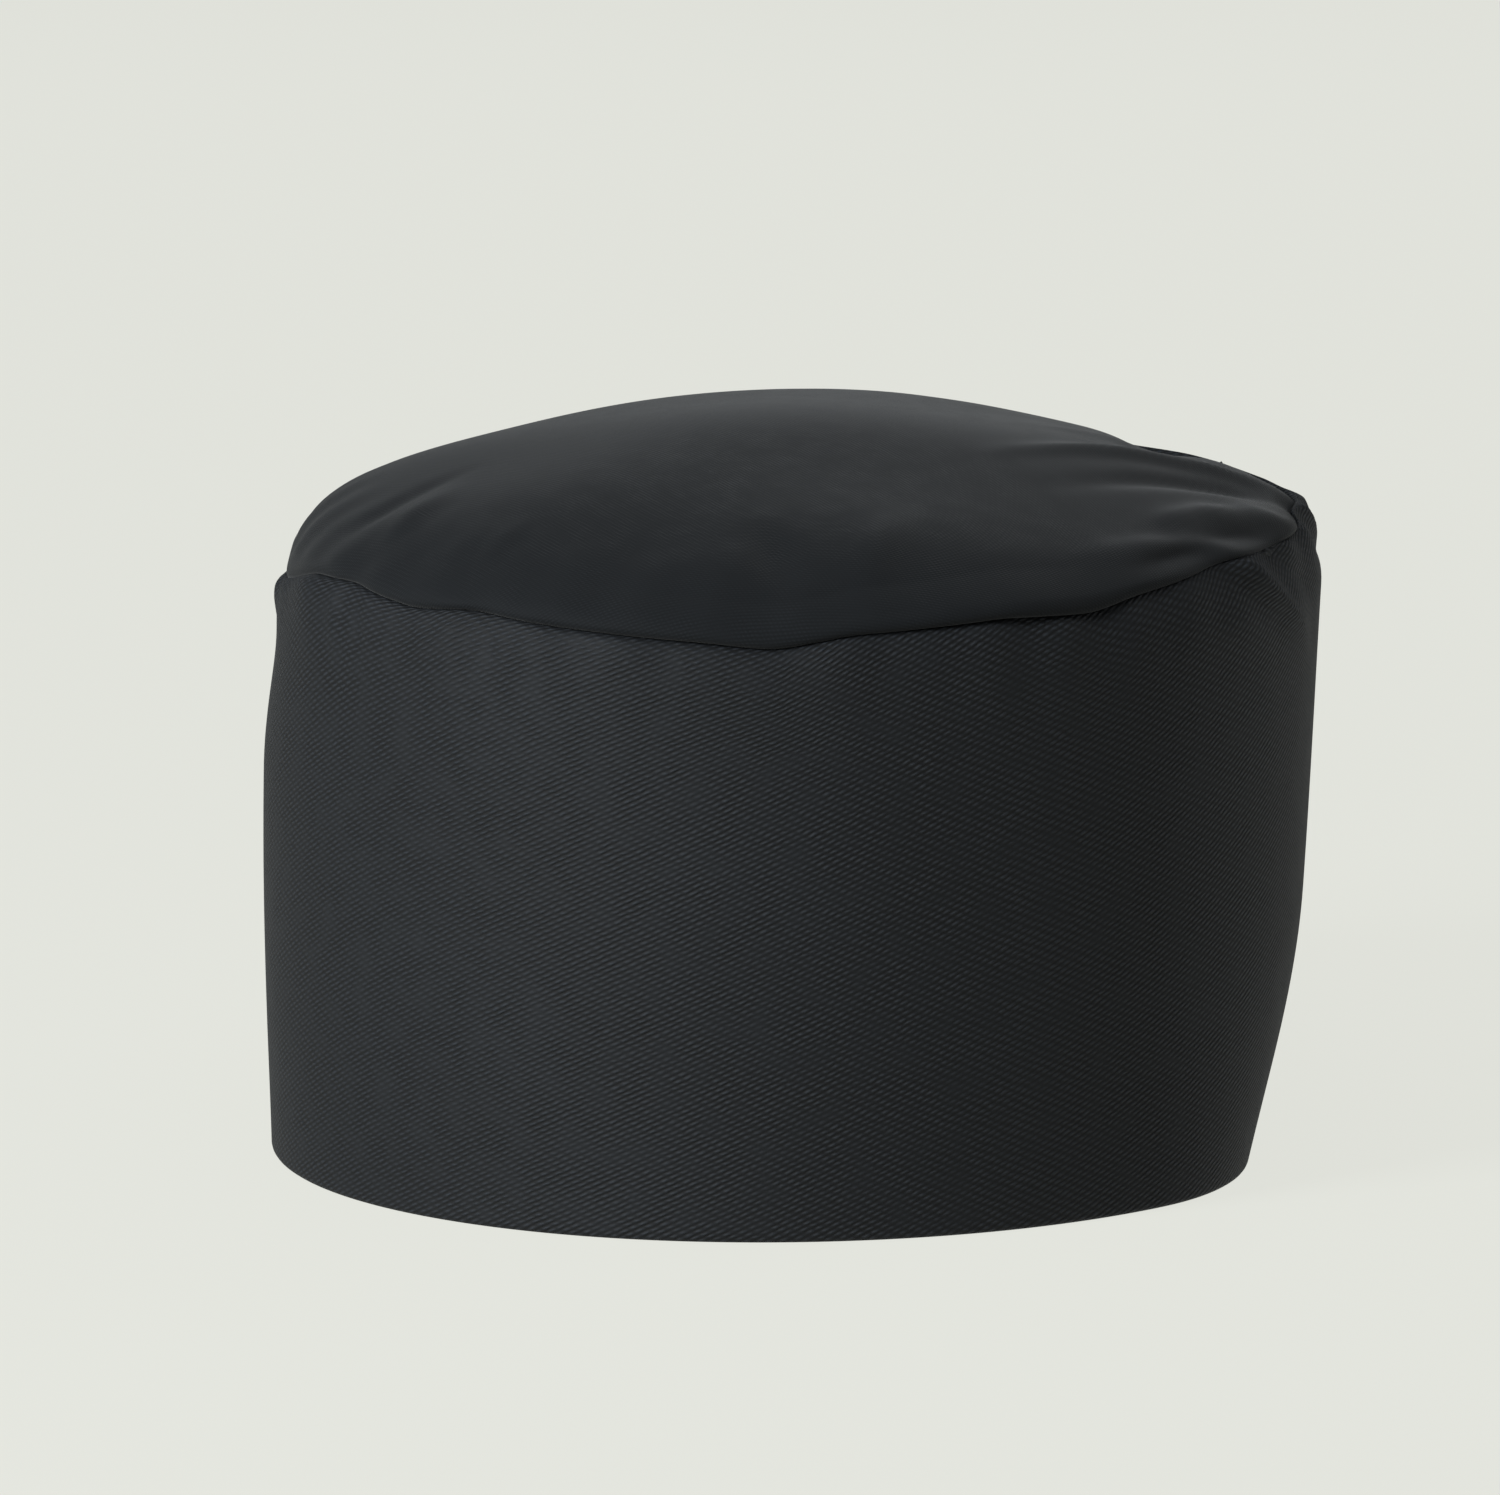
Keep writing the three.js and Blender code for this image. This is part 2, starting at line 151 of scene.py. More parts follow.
# %% Helpers for sheets
def surface(name, points, flat, wrap=False, first_pole=None, last_pole=None):
    """A mesh from a grid of points, rows by columns. flat holds each point's place on the flat cloth,
    with one more column than points if the last column joins the first. A pole is a point that closes the
    first or the last row with a fan of triangles."""
    rows, columns = points.shape[:2]
    cells = columns if wrap else columns - 1
    row, column = np.meshgrid(np.arange(rows - 1), np.arange(cells), indexing="ij")
    beside = (column + 1) % columns
    corners = [(row, column), (row, beside), (row + 1, beside), (row + 1, column)]
    on_cloth = [(row, column), (row, column + 1), (row + 1, column + 1), (row + 1, column)]
    corner_index = np.stack([r * columns + c for r, c in corners], -1).reshape(-1)
    uv = np.stack([flat[r, c] for r, c in on_cloth], -2).reshape(-1, 2)
    starts = np.arange(row.size) * 4
    points = points.reshape(-1, 3)
    for pole, row in ((first_pole, 0), (last_pole, rows - 1)):
        if pole is None:
            continue
        here = np.arange(cells)
        there = (here + 1) % columns
        left, right = (there, here) if row == 0 else (here, there)
        fan = np.stack([row * columns + left, row * columns + right, np.full(cells, len(points))], -1)
        middle_uv = np.broadcast_to(flat[row].mean(0), (cells, 2))
        order = (here + 1, here) if row == 0 else (here, here + 1)
        fan_uv = np.stack([flat[row, order[0]], flat[row, order[1]], middle_uv], 1)
        starts = np.concatenate([starts, len(corner_index) + here * 3])
        corner_index = np.concatenate([corner_index, fan.reshape(-1)])
        uv = np.concatenate([uv, fan_uv.reshape(-1, 2)])
        points = np.concatenate([points, [pole]])
    mesh = bpy.data.meshes.new(name)
    mesh.vertices.add(len(points))
    mesh.vertices.foreach_set("co", points.reshape(-1).astype(np.float32))
    mesh.loops.add(len(corner_index))
    mesh.loops.foreach_set("vertex_index", corner_index.astype(np.int32))
    mesh.polygons.add(len(starts))
    mesh.polygons.foreach_set("loop_start", starts.astype(np.int32))
    mesh.polygons.foreach_set("use_smooth", np.ones(len(starts), bool))
    mesh.update(calc_edges=True)
    mesh.uv_layers.new(name="cloth").data.foreach_set("uv", uv.reshape(-1).astype(np.float32))
    mesh.validate()
    piece = bpy.data.objects.new(name, mesh)
    bpy.context.scene.collection.objects.link(piece)
    return piece


def thicken(piece, thickness, offset=-1):
    """Solidify: offset -1 adds the thickness behind the computed side, and 0 adds half to each side."""
    modifier = piece.modifiers.new("thickness", "SOLIDIFY")
    modifier.thickness = thickness
    modifier.offset = offset
    modifier.use_even_offset = False
    return piece


def mixed_sines(u, v, seed, waves, longest, shortest):
    """A soft uneven field between about -1 and 1: the mean of sine waves with seeded directions, lengths
    between longest and shortest, and phases."""
    draw = np.random.default_rng(seed)
    total = 0
    for _ in range(waves):
        length = shortest * (longest / shortest) ** draw.random()
        heading, phase = draw.random(2) * 2 * np.pi
        total = total + np.sin(2 * np.pi * (u * np.cos(heading) + v * np.sin(heading)) / length + phase)
    return total / np.sqrt(waves)


def crease(u, v, start, end, width, height):
    """A soft ridge along a straight line on the cloth, from start to end: a bell across it, and eased
    ends."""
    start, end = np.array(start), np.array(end)
    along = end - start
    length = np.linalg.norm(along)
    along = along / length
    t = ((u - start[0]) * along[0] + (v - start[1]) * along[1]) / length
    off = (u - start[0]) * -along[1] + (v - start[1]) * along[0]
    taper = smooth(t / 0.3) * smooth((1 - t) / 0.6)
    return height * np.exp(-((off / width) ** 2)) * taper


# %% [markdown]
# ## The band's outer cloth
# The band is one long strip of twill. Its hem is turned up inside, its upper edge rolls in to the crown
# seam, and its two ends meet in a seam at the middle of the back, above an arch. So the grid is a strip
# too: its rows follow the cloth from the turned-up edge, round the hem, up the outside and over into the
# seam, and its end columns follow the arch and then the back seam. Small tucks, where the crown's ease
# was caught in the seam, push the band's upper edge in and out.

# %% The crown seam
cloth = 0.6 * mm
seam_depth = 4.4 * mm  # the crown seam lies this far in from the outside of the band
pull_reach, wave_reach = 13 * mm, 30 * mm  # the band gives way to tucks and waves this far below the rim

# Angle in degrees and height in mm of points that the sewing passes through
seam_wander = [
    (-150, 0.8), (-120, -1.0), (-75, 0.9), (-52, -2.0), (-31, -4.6), (-20, -1.5), (-9, 2.2),
    (0, 2.7), (12, 0.3), (20, 1.4), (31, 0), (48, -1.8), (56.5, -3.3), (65, -0.9),
    (82, 0), (93, -1.6), (99, 0), (115, 1.3), (135, -0.8), (149, -0.4), (168, -1.9),
]
# Middle and width in degrees and depth in mm of the tucks that draw the seam in
seam_pulls = [
    (148, 5, 2.0), (113, 4, 1.2), (22, 3, 0.9), (1, 3, 0.8), (-118, 5, 1.5), (-152, 4, 1.2), (-70, 3, 0.8),
]


def seam_wave(angle):
    """How far the sewing of the crown seam wanders above or below an even line round the cap."""
    degrees, heights = np.array(seam_wander).T
    turns = np.radians(np.linspace(-180, 180, 721))
    line = np.interp(turns, np.radians(degrees), heights, period=2 * np.pi) * mm
    bell = np.exp(-np.linspace(-2, 2, 15) ** 2)  # rounds the corners between the points
    line = np.convolve(np.concatenate([line[-8:-1], line, line[1:8]]), bell / bell.sum(), "valid")
    return np.interp(np.arctan2(np.sin(angle), np.cos(angle)), turns, line)


def seam_pull(angle):
    """How far tucks draw the seam in: the sum of a bell at each."""
    pull = 0
    for middle, width, deep in seam_pulls:
        from_middle = angle - np.radians(middle)
        off = np.degrees(np.arctan2(np.sin(from_middle), np.cos(from_middle)))
        pull = pull + deep * mm * np.exp(-((off / width) ** 2))
    return pull


def in_band(angle, height, depth):
    """on_cap, with the band's upper part following the seam as it wanders and is drawn in."""
    pulled = seam_pull(angle) * smooth((height - (rim - pull_reach)) / pull_reach)
    points = on_cap(angle, height, depth + pulled)
    points[..., 2] += seam_wave(angle) * smooth((height - (rim - wave_reach)) / wave_reach)
    return points


# %% The band's strip: columns
hem_turn = 8 * mm
fold_depth = 2.2 * mm  # the hem's two layers together
seam_gap = 0.15 * mm  # from the middle of the back to either end of the band
arch_ease = 1.08  # at the back the ellipse's normal turns this much faster than the angle
even_share = 0.82  # the columns stand evenly over this share of the strip on each side


def arch_edge(height):
    """Angle from the middle of the back to the edge of the arch at a height: an ellipse, and above its
    top the two ends of the band, turned in at the back seam, which all but touch."""
    wide = slit_half_width * np.sqrt(np.clip(1 - (height / slit_height) ** 2, 0, 1))
    radius = half_width - arch_ease * drawn_in(np.pi, height)
    return np.arcsin((wide + seam_gap) / radius)


def strip_angles(across, height):
    """Angle of a column of the strip, across from -1 to 1, at a height: the ends give way to the arch."""
    reach = np.clip((np.abs(across) - even_share) / (1 - even_share), 0, 1) ** 2
    return np.sign(across) * (np.pi * np.abs(across) - arch_edge(height) * reach)


def end_roll(angle, height, deep=0.9 * mm, over=0.8 * mm):
    """How far the cloth rolls in at the strip's ends, where its edges are turned under."""
    edge = np.pi - arch_edge(height) - np.abs(angle)
    return deep * np.exp(-((edge * half_length / over) ** 2))


near_end = np.array([0.35, 0.8, 1.4, 2.2, 3.2, 4.6]) * mm / (np.pi * half_length)
inner_columns = np.linspace(-1, 1, 421)[3:-3]
strip_columns = np.concatenate([[-1], -1 + near_end, inner_columns, 1 - near_end[::-1], [1]])

# %% The band's strip: rows
fold_radius = fold_depth / 2
shoulder_height = 14 * mm  # the band rounds in to the seam over its last stretch
back_corner, tight_corner = 1.7, 2.2  # the superellipse's power at the back, and what the front adds


def shoulder(angle, t):
    """Depth of the cloth as it rounds in to the seam, t from 0 at the start of the shoulder to 1 at its
    top: a quarter of a superellipse, with a tighter corner at the front than at the back."""
    at_front = 1 - smooth((np.pi - nape_distance(angle)) / 2.4)
    power = back_corner + tight_corner * at_front * smooth((angle + 1.1) / 0.5)
    return seam_depth * (1 - (1 - t**power) ** (1 / power))


turn = np.linspace(0, np.pi, 9)[1:-1]
turned_up = [(fold_depth, h) for h in np.linspace(hem_turn, fold_radius, 7)]
turned_up += [(fold_radius + fold_radius * np.cos(t), fold_radius - fold_radius * np.sin(t)) for t in turn]
side = np.concatenate([np.linspace(fold_radius, 12 * mm, 12), np.linspace(14 * mm, rim - 16 * mm, 44)])
shoulder_rows = 1 - (1 - np.linspace(0, 1, 23)) ** 1.6
into_seam = np.array([(0.3, -0.7), (0.5, -1.6), (0.6, -3.5), (0.65, -6), (0.7, -10)]) * mm

row_count = len(turned_up) + len(side) + len(shoulder_rows) + len(into_seam)
across = strip_columns[None, :]
first_side = len(turned_up)
first_shoulder = first_side + len(side)
first_seam = first_shoulder + len(shoulder_rows)
strip_height = np.zeros((row_count, len(strip_columns)))
strip_depth = np.zeros_like(strip_height)
strip_height[:first_side] = np.array(turned_up)[:, 1:]
strip_depth[:first_side] = np.array(turned_up)[:, :1]
strip_height[first_side:first_shoulder] = side[:, None]
strip_height[first_shoulder:first_seam] = rim - shoulder_height + shoulder_height * shoulder_rows[:, None]
strip_angle = strip_angles(across, strip_height)
rounding_in = shoulder(strip_angle[first_shoulder:first_seam], shoulder_rows[:, None])
strip_depth[first_shoulder:first_seam] = rounding_in
strip_height[first_seam:] = rim + into_seam[:, 1:]
strip_depth[first_seam:] = seam_depth + into_seam[:, :1]
strip_angle = strip_angles(across, strip_height)
measured = 200  # a column near the forehead, far from the arch
section_steps = np.hypot(*np.diff([strip_height[:, measured], strip_depth[:, measured]]))
cloth_length = np.concatenate([[0], np.cumsum(section_steps)])
cloth_length -= cloth_length[first_side]
strip_width = float(cloth_length[-1] - cloth_length[0])
print("the band's strip is", round(strip_width / mm), "mm wide and", row_count, "rows")


# %% Creases in the band
def mark(degrees, height):
    """A place on the band's cloth: angle from the forehead in degrees and height in mm."""
    return (float(along_band(math.radians(degrees))), height * mm)


# Start, end, width and height of each crease
band_creases = [
    (mark(-31, 124), mark(-33, 76), 26 * mm, -1.9 * mm),
    (mark(-2, 119), mark(0, 101), 1.7 * mm, 0.8 * mm),
    (mark(3, 117), mark(5, 102), 1.6 * mm, -0.7 * mm),
    (mark(14, 117), mark(16, 103), 1.6 * mm, 0.7 * mm),
    (mark(20, 118), mark(22, 98), 1.7 * mm, -0.7 * mm),
    (mark(25, 117), mark(27, 101), 1.5 * mm, 0.6 * mm),
    (mark(113, 121), mark(137, 92), 2.4 * mm, 1.8 * mm),
    (mark(110, 120), mark(126, 98), 3.0 * mm, -0.8 * mm),
    (mark(120, 121), mark(142, 100), 3.0 * mm, -1.3 * mm),
    (mark(146, 124), mark(158, 104), 2.4 * mm, 1.8 * mm),
    (mark(139, 122), mark(152, 106), 2.4 * mm, -1.3 * mm),
    (mark(-32, 118), mark(-36, 102), 2.0 * mm, 0.8 * mm),
    (mark(-72, 118), mark(-69, 100), 2.2 * mm, -0.8 * mm),
    (mark(-116, 121), mark(-128, 98), 2.6 * mm, 1.2 * mm),
    (mark(-150, 124), mark(-160, 103), 2.4 * mm, 1.1 * mm),
]


flat_hem = 25 * mm  # the waves and creases fade towards the hem over this height


def band_relief(angle, height):
    """Outward shape of the band's cloth beyond its plain form: long soft waves, short waves and tucks by
    the seam, and creases that run down from them."""
    u, v = along_band(angle), height
    below = np.clip(rim - height, 0, None)
    relief = 0.35 * mm * mixed_sines(u, v * 0.6, 3, 7, 190 * mm, 70 * mm)
    near_seam = np.exp(-((below / (11 * mm)) ** 1.3))
    relief = relief + near_seam * 0.55 * mm * mixed_sines(u, v * 0.15, 11, 9, 46 * mm, 13 * mm)
    for start, end, width, high in band_creases:
        relief = relief + crease(u, v, start, end, width, high)
    return relief


# %% Make the band's outer cloth
outside_share = np.zeros_like(strip_depth)
outside_share[first_side:first_seam] = 1
outside_share[first_seam - 4 : first_seam] = np.array([0.9, 0.7, 0.5, 0.3])[:, None]
relief = band_relief(strip_angle, strip_height) * smooth(strip_height / flat_hem) * outside_share
rolled = end_roll(strip_angle, strip_height) * outside_share
strip_points = in_band(strip_angle, strip_height, strip_depth - relief + rolled)
strip_flat = np.stack(np.broadcast_arrays(along_band(strip_angle), cloth_length[:, None]), -1)
band_cloth = thicken(surface("band_cloth", strip_points, strip_flat), cloth)
print("band_cloth:", strip_points.shape[0] * strip_points.shape[1], "points")

# %% [markdown]
# ## The crown
# The crown is a round panel a little larger than the rim it is sewn to, so it swells over the seam, most
# at the front, and stands in a shallow dome. In plan it is the rim's own ellipse, shrunk towards the
# middle. Its height is a dome that the seam pulls down over the last stretch. Where the extra cloth was
# caught in small tucks, soft folds run in from the seam.

# %% The crown's dome
crown_fall = 20 * mm  # the dome falls this much towards its edge before the shoulder rolls down
crown_settle = 2.6 * mm  # and its middle has settled by this much
crown_slump = 1.7 * mm  # its edge stands higher by this much on the wearer's right of the forehead
slump_side = math.radians(-33)
lip_start = 2.0 * mm  # the crown rises this far out of the seam before it swells over the band
lip_reach = 8 * mm  # and has turned in again this far above that
hold_power, hold_root = 14, 0.32  # how close to the seam the cloth lets go, and how roundly
seam_drop = 2.2 * mm  # the stitching lies this far below the top of the rim
radius_x, radius_y = half_width - seam_depth, half_length - seam_depth


def seam_height(angle):
    """Height of the stitching that joins crown and band."""
    return rim + rim_rise(angle) - seam_drop + seam_wave(angle)


def crown_plan(out, angle):
    """Plan position on the crown, a share of the way out, measured from the middle of the cap."""
    return out * radius_x * np.sin(angle), -out * radius_y * np.cos(angle)


def free_share(out):
    """0 at the seam and 1 on the dome: how far the cloth has let go of the seam."""
    return (1 - np.clip(out, 0, 1) ** hold_power) ** hold_root


def overhang(angle):
    """How far the crown's shoulder stands out over the seam: most at the front and the wearer's left."""
    return np.clip(0.5 + 2.4 * np.cos(angle - math.radians(55)) + 0.3 * np.sin(9 * angle + 1), 0, None) * mm


# %% Folds in the crown: plan start and end in mm from the middle, width and height in mm
crown_folds = [
    ((40, 92), (44, 8), 3.2, 2.0),
    ((48, 88), (62, 10), 3.2, -1.6),
    ((59, 80), (80, 18), 3.2, 2.0),
    ((70, 66), (86, 22), 2.4, -1.4),
    ((78, 52), (88, -2), 2.6, 1.8),
    ((80, 44), (91, 10), 2.0, -1.2),
    ((-22, 104), (52, 46), 8.0, -2.6),
    ((26, 96), (18, 30), 5.0, 0.8),
    ((78, -52), (52, -44), 4.5, -1.2),
    ((84, -42), (60, -14), 4.5, 1.0),
    ((4, -99), (-10, -70), 3.6, 1.2),
    ((-12, -97), (-16, -60), 3.0, -0.8),
    ((30, -92), (22, -76), 3.0, 0.8),
    ((-84, -34), (-66, 14), 5.0, 1.2),
    ((-70, 64), (-52, 18), 5.0, 1.3),
    ((-44, 86), (-20, 40), 4.4, -1.0),
]


def crown_relief(out, angle):
    """Height of the crown's folds beyond its plain dome: broad swells, short waves by the seam and the
    folds that run in from the tucks."""
    x, y = crown_plan(out, angle)
    u = along_band(angle)
    relief = 0.8 * mm * mixed_sines(x, y, 5, 8, 120 * mm, 45 * mm) * (1 - out**6)
    near_seam = smooth((out - 0.80) / 0.16) * smooth((1 - out) / 0.012)
    relief = relief + near_seam * 0.45 * mm * mixed_sines(u, out * 30 * mm, 17, 9, 50 * mm, 14 * mm)
    for start, end, width, high in crown_folds:
        start, end = np.array(start) * mm, np.array(end) * mm
        relief = relief + crease(x, y, start, end, width * mm, high * mm)
    return relief


# %% Make the crown
crown_angle = np.linspace(-np.pi, np.pi, 361)[:-1]
let_go = np.linspace(0, 0.9, 46)
crown_out = (1 - let_go ** (1 / hold_root)) ** (1 / hold_power)
crown_out = np.concatenate([crown_out, np.linspace(crown_out[-1], 0.01, 64)[1:]])
out, angle = np.meshgrid(crown_out, crown_angle, indexing="ij")
free = free_share(out)
fall = crown_fall - crown_slump * np.clip(np.cos(angle - slump_side), 0, None)
dome = crown_top - crown_settle - fall * out**2
height = seam_height(angle) * (1 - free) + dome * free
above_lip = np.clip((height - seam_height(angle) - lip_start) / lip_reach, 0, 1)
bulge = overhang(angle) * np.sin(np.pi * above_lip**0.45) * smooth((out - 0.6) / 0.3)
relief = crown_relief(out, angle) * smooth(free / 0.15)
lean = 0.8 * smooth((out - 0.86) / 0.12)  # near the shoulder a fold moves the cloth outwards rather than up
drawn = seam_pull(angle) * smooth((out - 0.93) / 0.07)
sideways = outwards(angle) * (bulge + relief * lean - drawn)[..., None]
plan_x, plan_y = crown_plan(out, angle)
crown_points = np.stack([plan_x + sideways[..., 0], middle_y + plan_y + sideways[..., 1], height], -1)
crown_points[..., 2] += relief * (1 - lean)
skirt_drop = np.array([-8, -5.5, -3.2, -1.5, -0.5]) * mm
skirt_depth = seam_depth + 0.9 * mm + seam_pull(crown_angle)  # clear of the band's own allowance
skirt = on_cap(crown_angle[None, :], rim - seam_drop + skirt_drop[:, None], skirt_depth)
skirt[..., 2] += seam_wave(crown_angle)
crown_points = np.concatenate([skirt, crown_points])
crown_middle = crown_points[-1].mean(0)
# On the flat cloth a point lies as far from the middle as the cloth's own length from there
row_steps = np.linalg.norm(np.diff(crown_points, axis=0), axis=-1).mean(1)
last_step = np.linalg.norm(crown_points[-1] - crown_middle, axis=-1).mean()
from_middle = np.cumsum(np.append(row_steps, last_step)[::-1])[::-1][:, None]
crown_turn = np.append(crown_angle, np.pi)[None, :]
crown_flat = np.stack([from_middle * np.sin(crown_turn), -from_middle * np.cos(crown_turn)], -1)
print("the crown was cut about", round(2 * from_middle[0, 0] / mm), "mm across")
crown_sheet = surface("crown_cloth", crown_points, crown_flat, wrap=True, last_pole=crown_middle)
crown_cloth = thicken(crown_sheet, cloth)
print("crown_cloth:", crown_points.shape[0] * crown_points.shape[1], "points")

# %% [markdown]
# ## Inside the band
# Behind the twill lie a stiff interlining and a thin lining, both cut round the arch as the twill is. The
# lining is what the wearer sees, so its grid faces the head, and at the arch it rolls back to meet the
# twill. Both end at the top where the seam's allowances hang. A cotton tape is folded over those raw
# edges.

# %% Interlining and lining
def inner_layer(name, start, limit, thickness, low, high, roll):
    """A strip like the band's, facing the head: it keeps a distance start behind the twill, at most limit
    deep, from low to high, and rolls towards the twill by roll at the arch. The grid has 60 rows."""
    row_height = np.linspace(low, high, 60)[:, None]
    layer_angle = strip_angles(strip_columns[None, ::-1], row_height)
    t = np.clip((row_height - (rim - shoulder_height)) / shoulder_height, 0, 1)
    layer_depth = np.minimum(shoulder(layer_angle, t) + start, limit) + thickness
    layer_depth = layer_depth - end_roll(layer_angle, row_height, roll)
    layer_depth = layer_depth - band_relief(layer_angle, row_height) * smooth(row_height / flat_hem)
    points = in_band(layer_angle, row_height, layer_depth)
    flat = np.stack(np.broadcast_arrays(along_band(layer_angle), row_height), -1)
    return thicken(surface(name, points, flat), thickness)


interlining_low, interlining_high = 2.6 * mm, rim - 3.5 * mm
interlining_cloth = inner_layer(
    "interlining_cloth", start=0.9 * mm, limit=2.7 * mm, thickness=0.4 * mm,
    low=interlining_low, high=interlining_high, roll=0,
)
lining_low, lining_high = hem_turn + 0.3 * mm, rim - 3.0 * mm
lining_cloth = inner_layer(
    "lining_cloth", start=1.6 * mm, limit=3.2 * mm, thickness=0.6 * mm,
    low=lining_low, high=lining_high, roll=0.5 * mm,
)

# %% The tape over the seam's raw edges
tape_angle = np.linspace(-np.pi, np.pi, 301)[:-1]
tape_bend = np.linspace(0, np.pi, 9)
tape_middle, tape_half = 5.2 * mm, 1.2 * mm  # depth of the folded tape's middle, and half its thickness
tape_foot, tape_top = rim - 10.6 * mm, rim - 3.3 * mm
tape_rows = [(tape_middle + tape_half, h) for h in np.linspace(tape_top, tape_foot, 8)[:-1]]
tape_rows += [(tape_middle + tape_half * np.cos(b), tape_foot - tape_half * np.sin(b)) for b in tape_bend]
tape_rows += [(tape_middle - tape_half, h) for h in np.linspace(tape_foot, tape_top - 0.6 * mm, 8)[1:]]
tape_rows = np.array(tape_rows)
tape_points = in_band(tape_angle[None, :], tape_rows[:, 1:], tape_rows[:, :1])
tape_girth = np.concatenate([[0], np.cumsum(np.hypot(*np.diff(tape_rows, axis=0).T))])
tape_around = along_band(np.append(tape_angle, np.pi))
tape_flat = np.stack(np.broadcast_arrays(tape_around[None, :], tape_girth[:, None]), -1)
seam_tape = thicken(surface("seam_tape", tape_points, tape_flat, wrap=True), 0.4 * mm)
print("the tape was cut", round(tape_girth[-1] / mm, 1), "mm wide")

# %% [markdown]
# ## Strips with rounded edges
# The sweatband, the strap and its two tapes are all the same kind of thing: a long flat strip that
# follows the band at some depth. One function makes them all. A row of the grid is a closed loop, up the
# side towards the head and down the outer side, and the loop's thickness fades at its edges like a
# superellipse. The rows follow the band's angle, and the first and last rows close at a point.

# %% The function for strips
def flat_strip(name, angle, low, high, depth, thickness, corner=0, steps=12, relief=None):
    """A strip from low to high whose middle lies at a depth. corner rounds its far end's corners, and
    relief is a function of length and height that raises both its sides. steps is the number of cells up
    each side."""
    middle_line = on_cap(angle, (low + high) / 2, depth)
    length = np.concatenate([[0], np.cumsum(np.linalg.norm(np.diff(middle_line, axis=0), axis=1))])
    to_end = np.minimum(length, length[-1] - length)
    rounding = np.sqrt(1 - np.clip(1 - to_end / (0.5 * thickness), 0, 1) ** 2)
    cut = np.clip(1 - (length[-1] - length) / corner, 0, 1) if corner else np.zeros_like(length)
    half_height = (high - low) / 2 - corner * (1 - np.sqrt(1 - cut**2))
    v = np.sin(np.linspace(-1, 1, steps + 1) * np.pi / 2)
    fullness = np.sqrt(1 - np.abs(v) ** (1.2 * (high - low) / thickness))
    v = np.concatenate([v, v[-2:0:-1]])
    fullness = np.concatenate([fullness, -fullness[-2:0:-1]])
    strip_v = v[None, :] * half_height[:, None]
    off = fullness[None, :] * rounding[:, None] * thickness / 2
    if relief:
        off = off + relief(length[:, None], strip_v) * np.sign(fullness) * rounding[:, None]
    points = on_cap(angle[:, None], (low + high) / 2 + strip_v, np.reshape(depth, (-1, 1)) + off)
    around = np.concatenate([strip_v, strip_v[:, :1]], 1)
    flat = np.stack(np.broadcast_arrays(length[:, None], around), -1)
    poles = dict(first_pole=points[0].mean(0), last_pole=points[-1].mean(0))
    return surface(name, points, flat, wrap=True, **poles)


def eased_ends(start, end, count, end_step):
    """Values from start to end with extra ones in the first and last share end_step, where the ends
    round."""
    share = np.linspace(0, 1, count)
    close = np.array([0.12, 0.4, 0.8]) * end_step
    share = np.sort(np.concatenate([share, close, 1 - close]))
    return start + (end - start) * share


# %% [markdown]
# ## Stitches
# A sewn stitch is a short arch of thread that dives into the cloth at both ends. Hundreds of them are one
# mesh of small tubes, each with only a few dozen faces. Where threads lie side by side, as in a bar tack,
# the same tubes run across the tack.

# %% The function for threads
thread_radius, thread_lift = 0.17 * mm, 0.12 * mm


def threads(name, start, end, out, radius, lift, stations=5, sides=6):
    """One tube from each start to each end, arched along out: its middle stands lift above the line, its
    ends sink by a radius, and it is thinnest at its ends."""
    t = np.linspace(0, 1, stations)
    arch = np.sin(np.pi * t)
    line = start[:, None] + (end - start)[:, None] * t[None, :, None]
    line = line + out[:, None] * (lift * arch - radius * (1 - arch))[None, :, None]
    along = end - start
    along = along / np.linalg.norm(along, axis=1, keepdims=True)
    side = np.cross(along, out)
    turn = np.linspace(0, 2 * np.pi, sides, endpoint=False)
    ring = side[:, None] * np.cos(turn)[None, :, None] + out[:, None] * np.sin(turn)[None, :, None]
    size = radius * (0.45 + 0.55 * arch)
    points = line[:, :, None] + ring[:, None] * size[None, :, None, None]
    count = len(start)
    index = np.arange(count * stations * sides).reshape(count, stations, sides)
    beside = np.roll(index, -1, 2)
    quads = np.stack([index[:, :-1], beside[:, :-1], beside[:, 1:], index[:, 1:]], -1).reshape(-1, 4)
    caps = np.concatenate([index[:, 0, ::-1], index[:, -1]])
    mesh = bpy.data.meshes.new(name)
    mesh.from_pydata(points.reshape(-1, 3).tolist(), [], quads.tolist() + caps.tolist())
    mesh.polygons.foreach_set("use_smooth", np.ones(len(mesh.polygons), bool))
    piece = bpy.data.objects.new(name, mesh)
    bpy.context.scene.collection.objects.link(piece)
    return piece


def stitch_row(name, angle, height, depth, pitch=2.8 * mm, inside=False, place=on_cap):
    """Stitches of one pitch along a line given by angle, height and depth. inside turns them to the
    head."""
    points = place(angle, height, depth)
    length = np.concatenate([[0], np.cumsum(np.linalg.norm(np.diff(points, axis=0), axis=1))])
    count = max(2, round(length[-1] / pitch))
    marks = np.linspace(0, length[-1], count + 1)
    hidden = 0.1 * pitch  # the part of each end that dives into the cloth
    starts, ends = marks[:-1] + hidden, marks[1:] - hidden

    def at(where):
        """The points at these lengths along the line."""
        return np.stack([np.interp(where, length, points[:, k]) for k in range(3)], -1)

    facing = outwards(np.interp((starts + ends) / 2, length, np.broadcast_to(angle, length.shape)))
    out = np.concatenate([facing, np.zeros((count, 1))], 1) * (-1 if inside else 1)
    return threads(name, at(starts), at(ends), out, thread_radius, thread_lift)


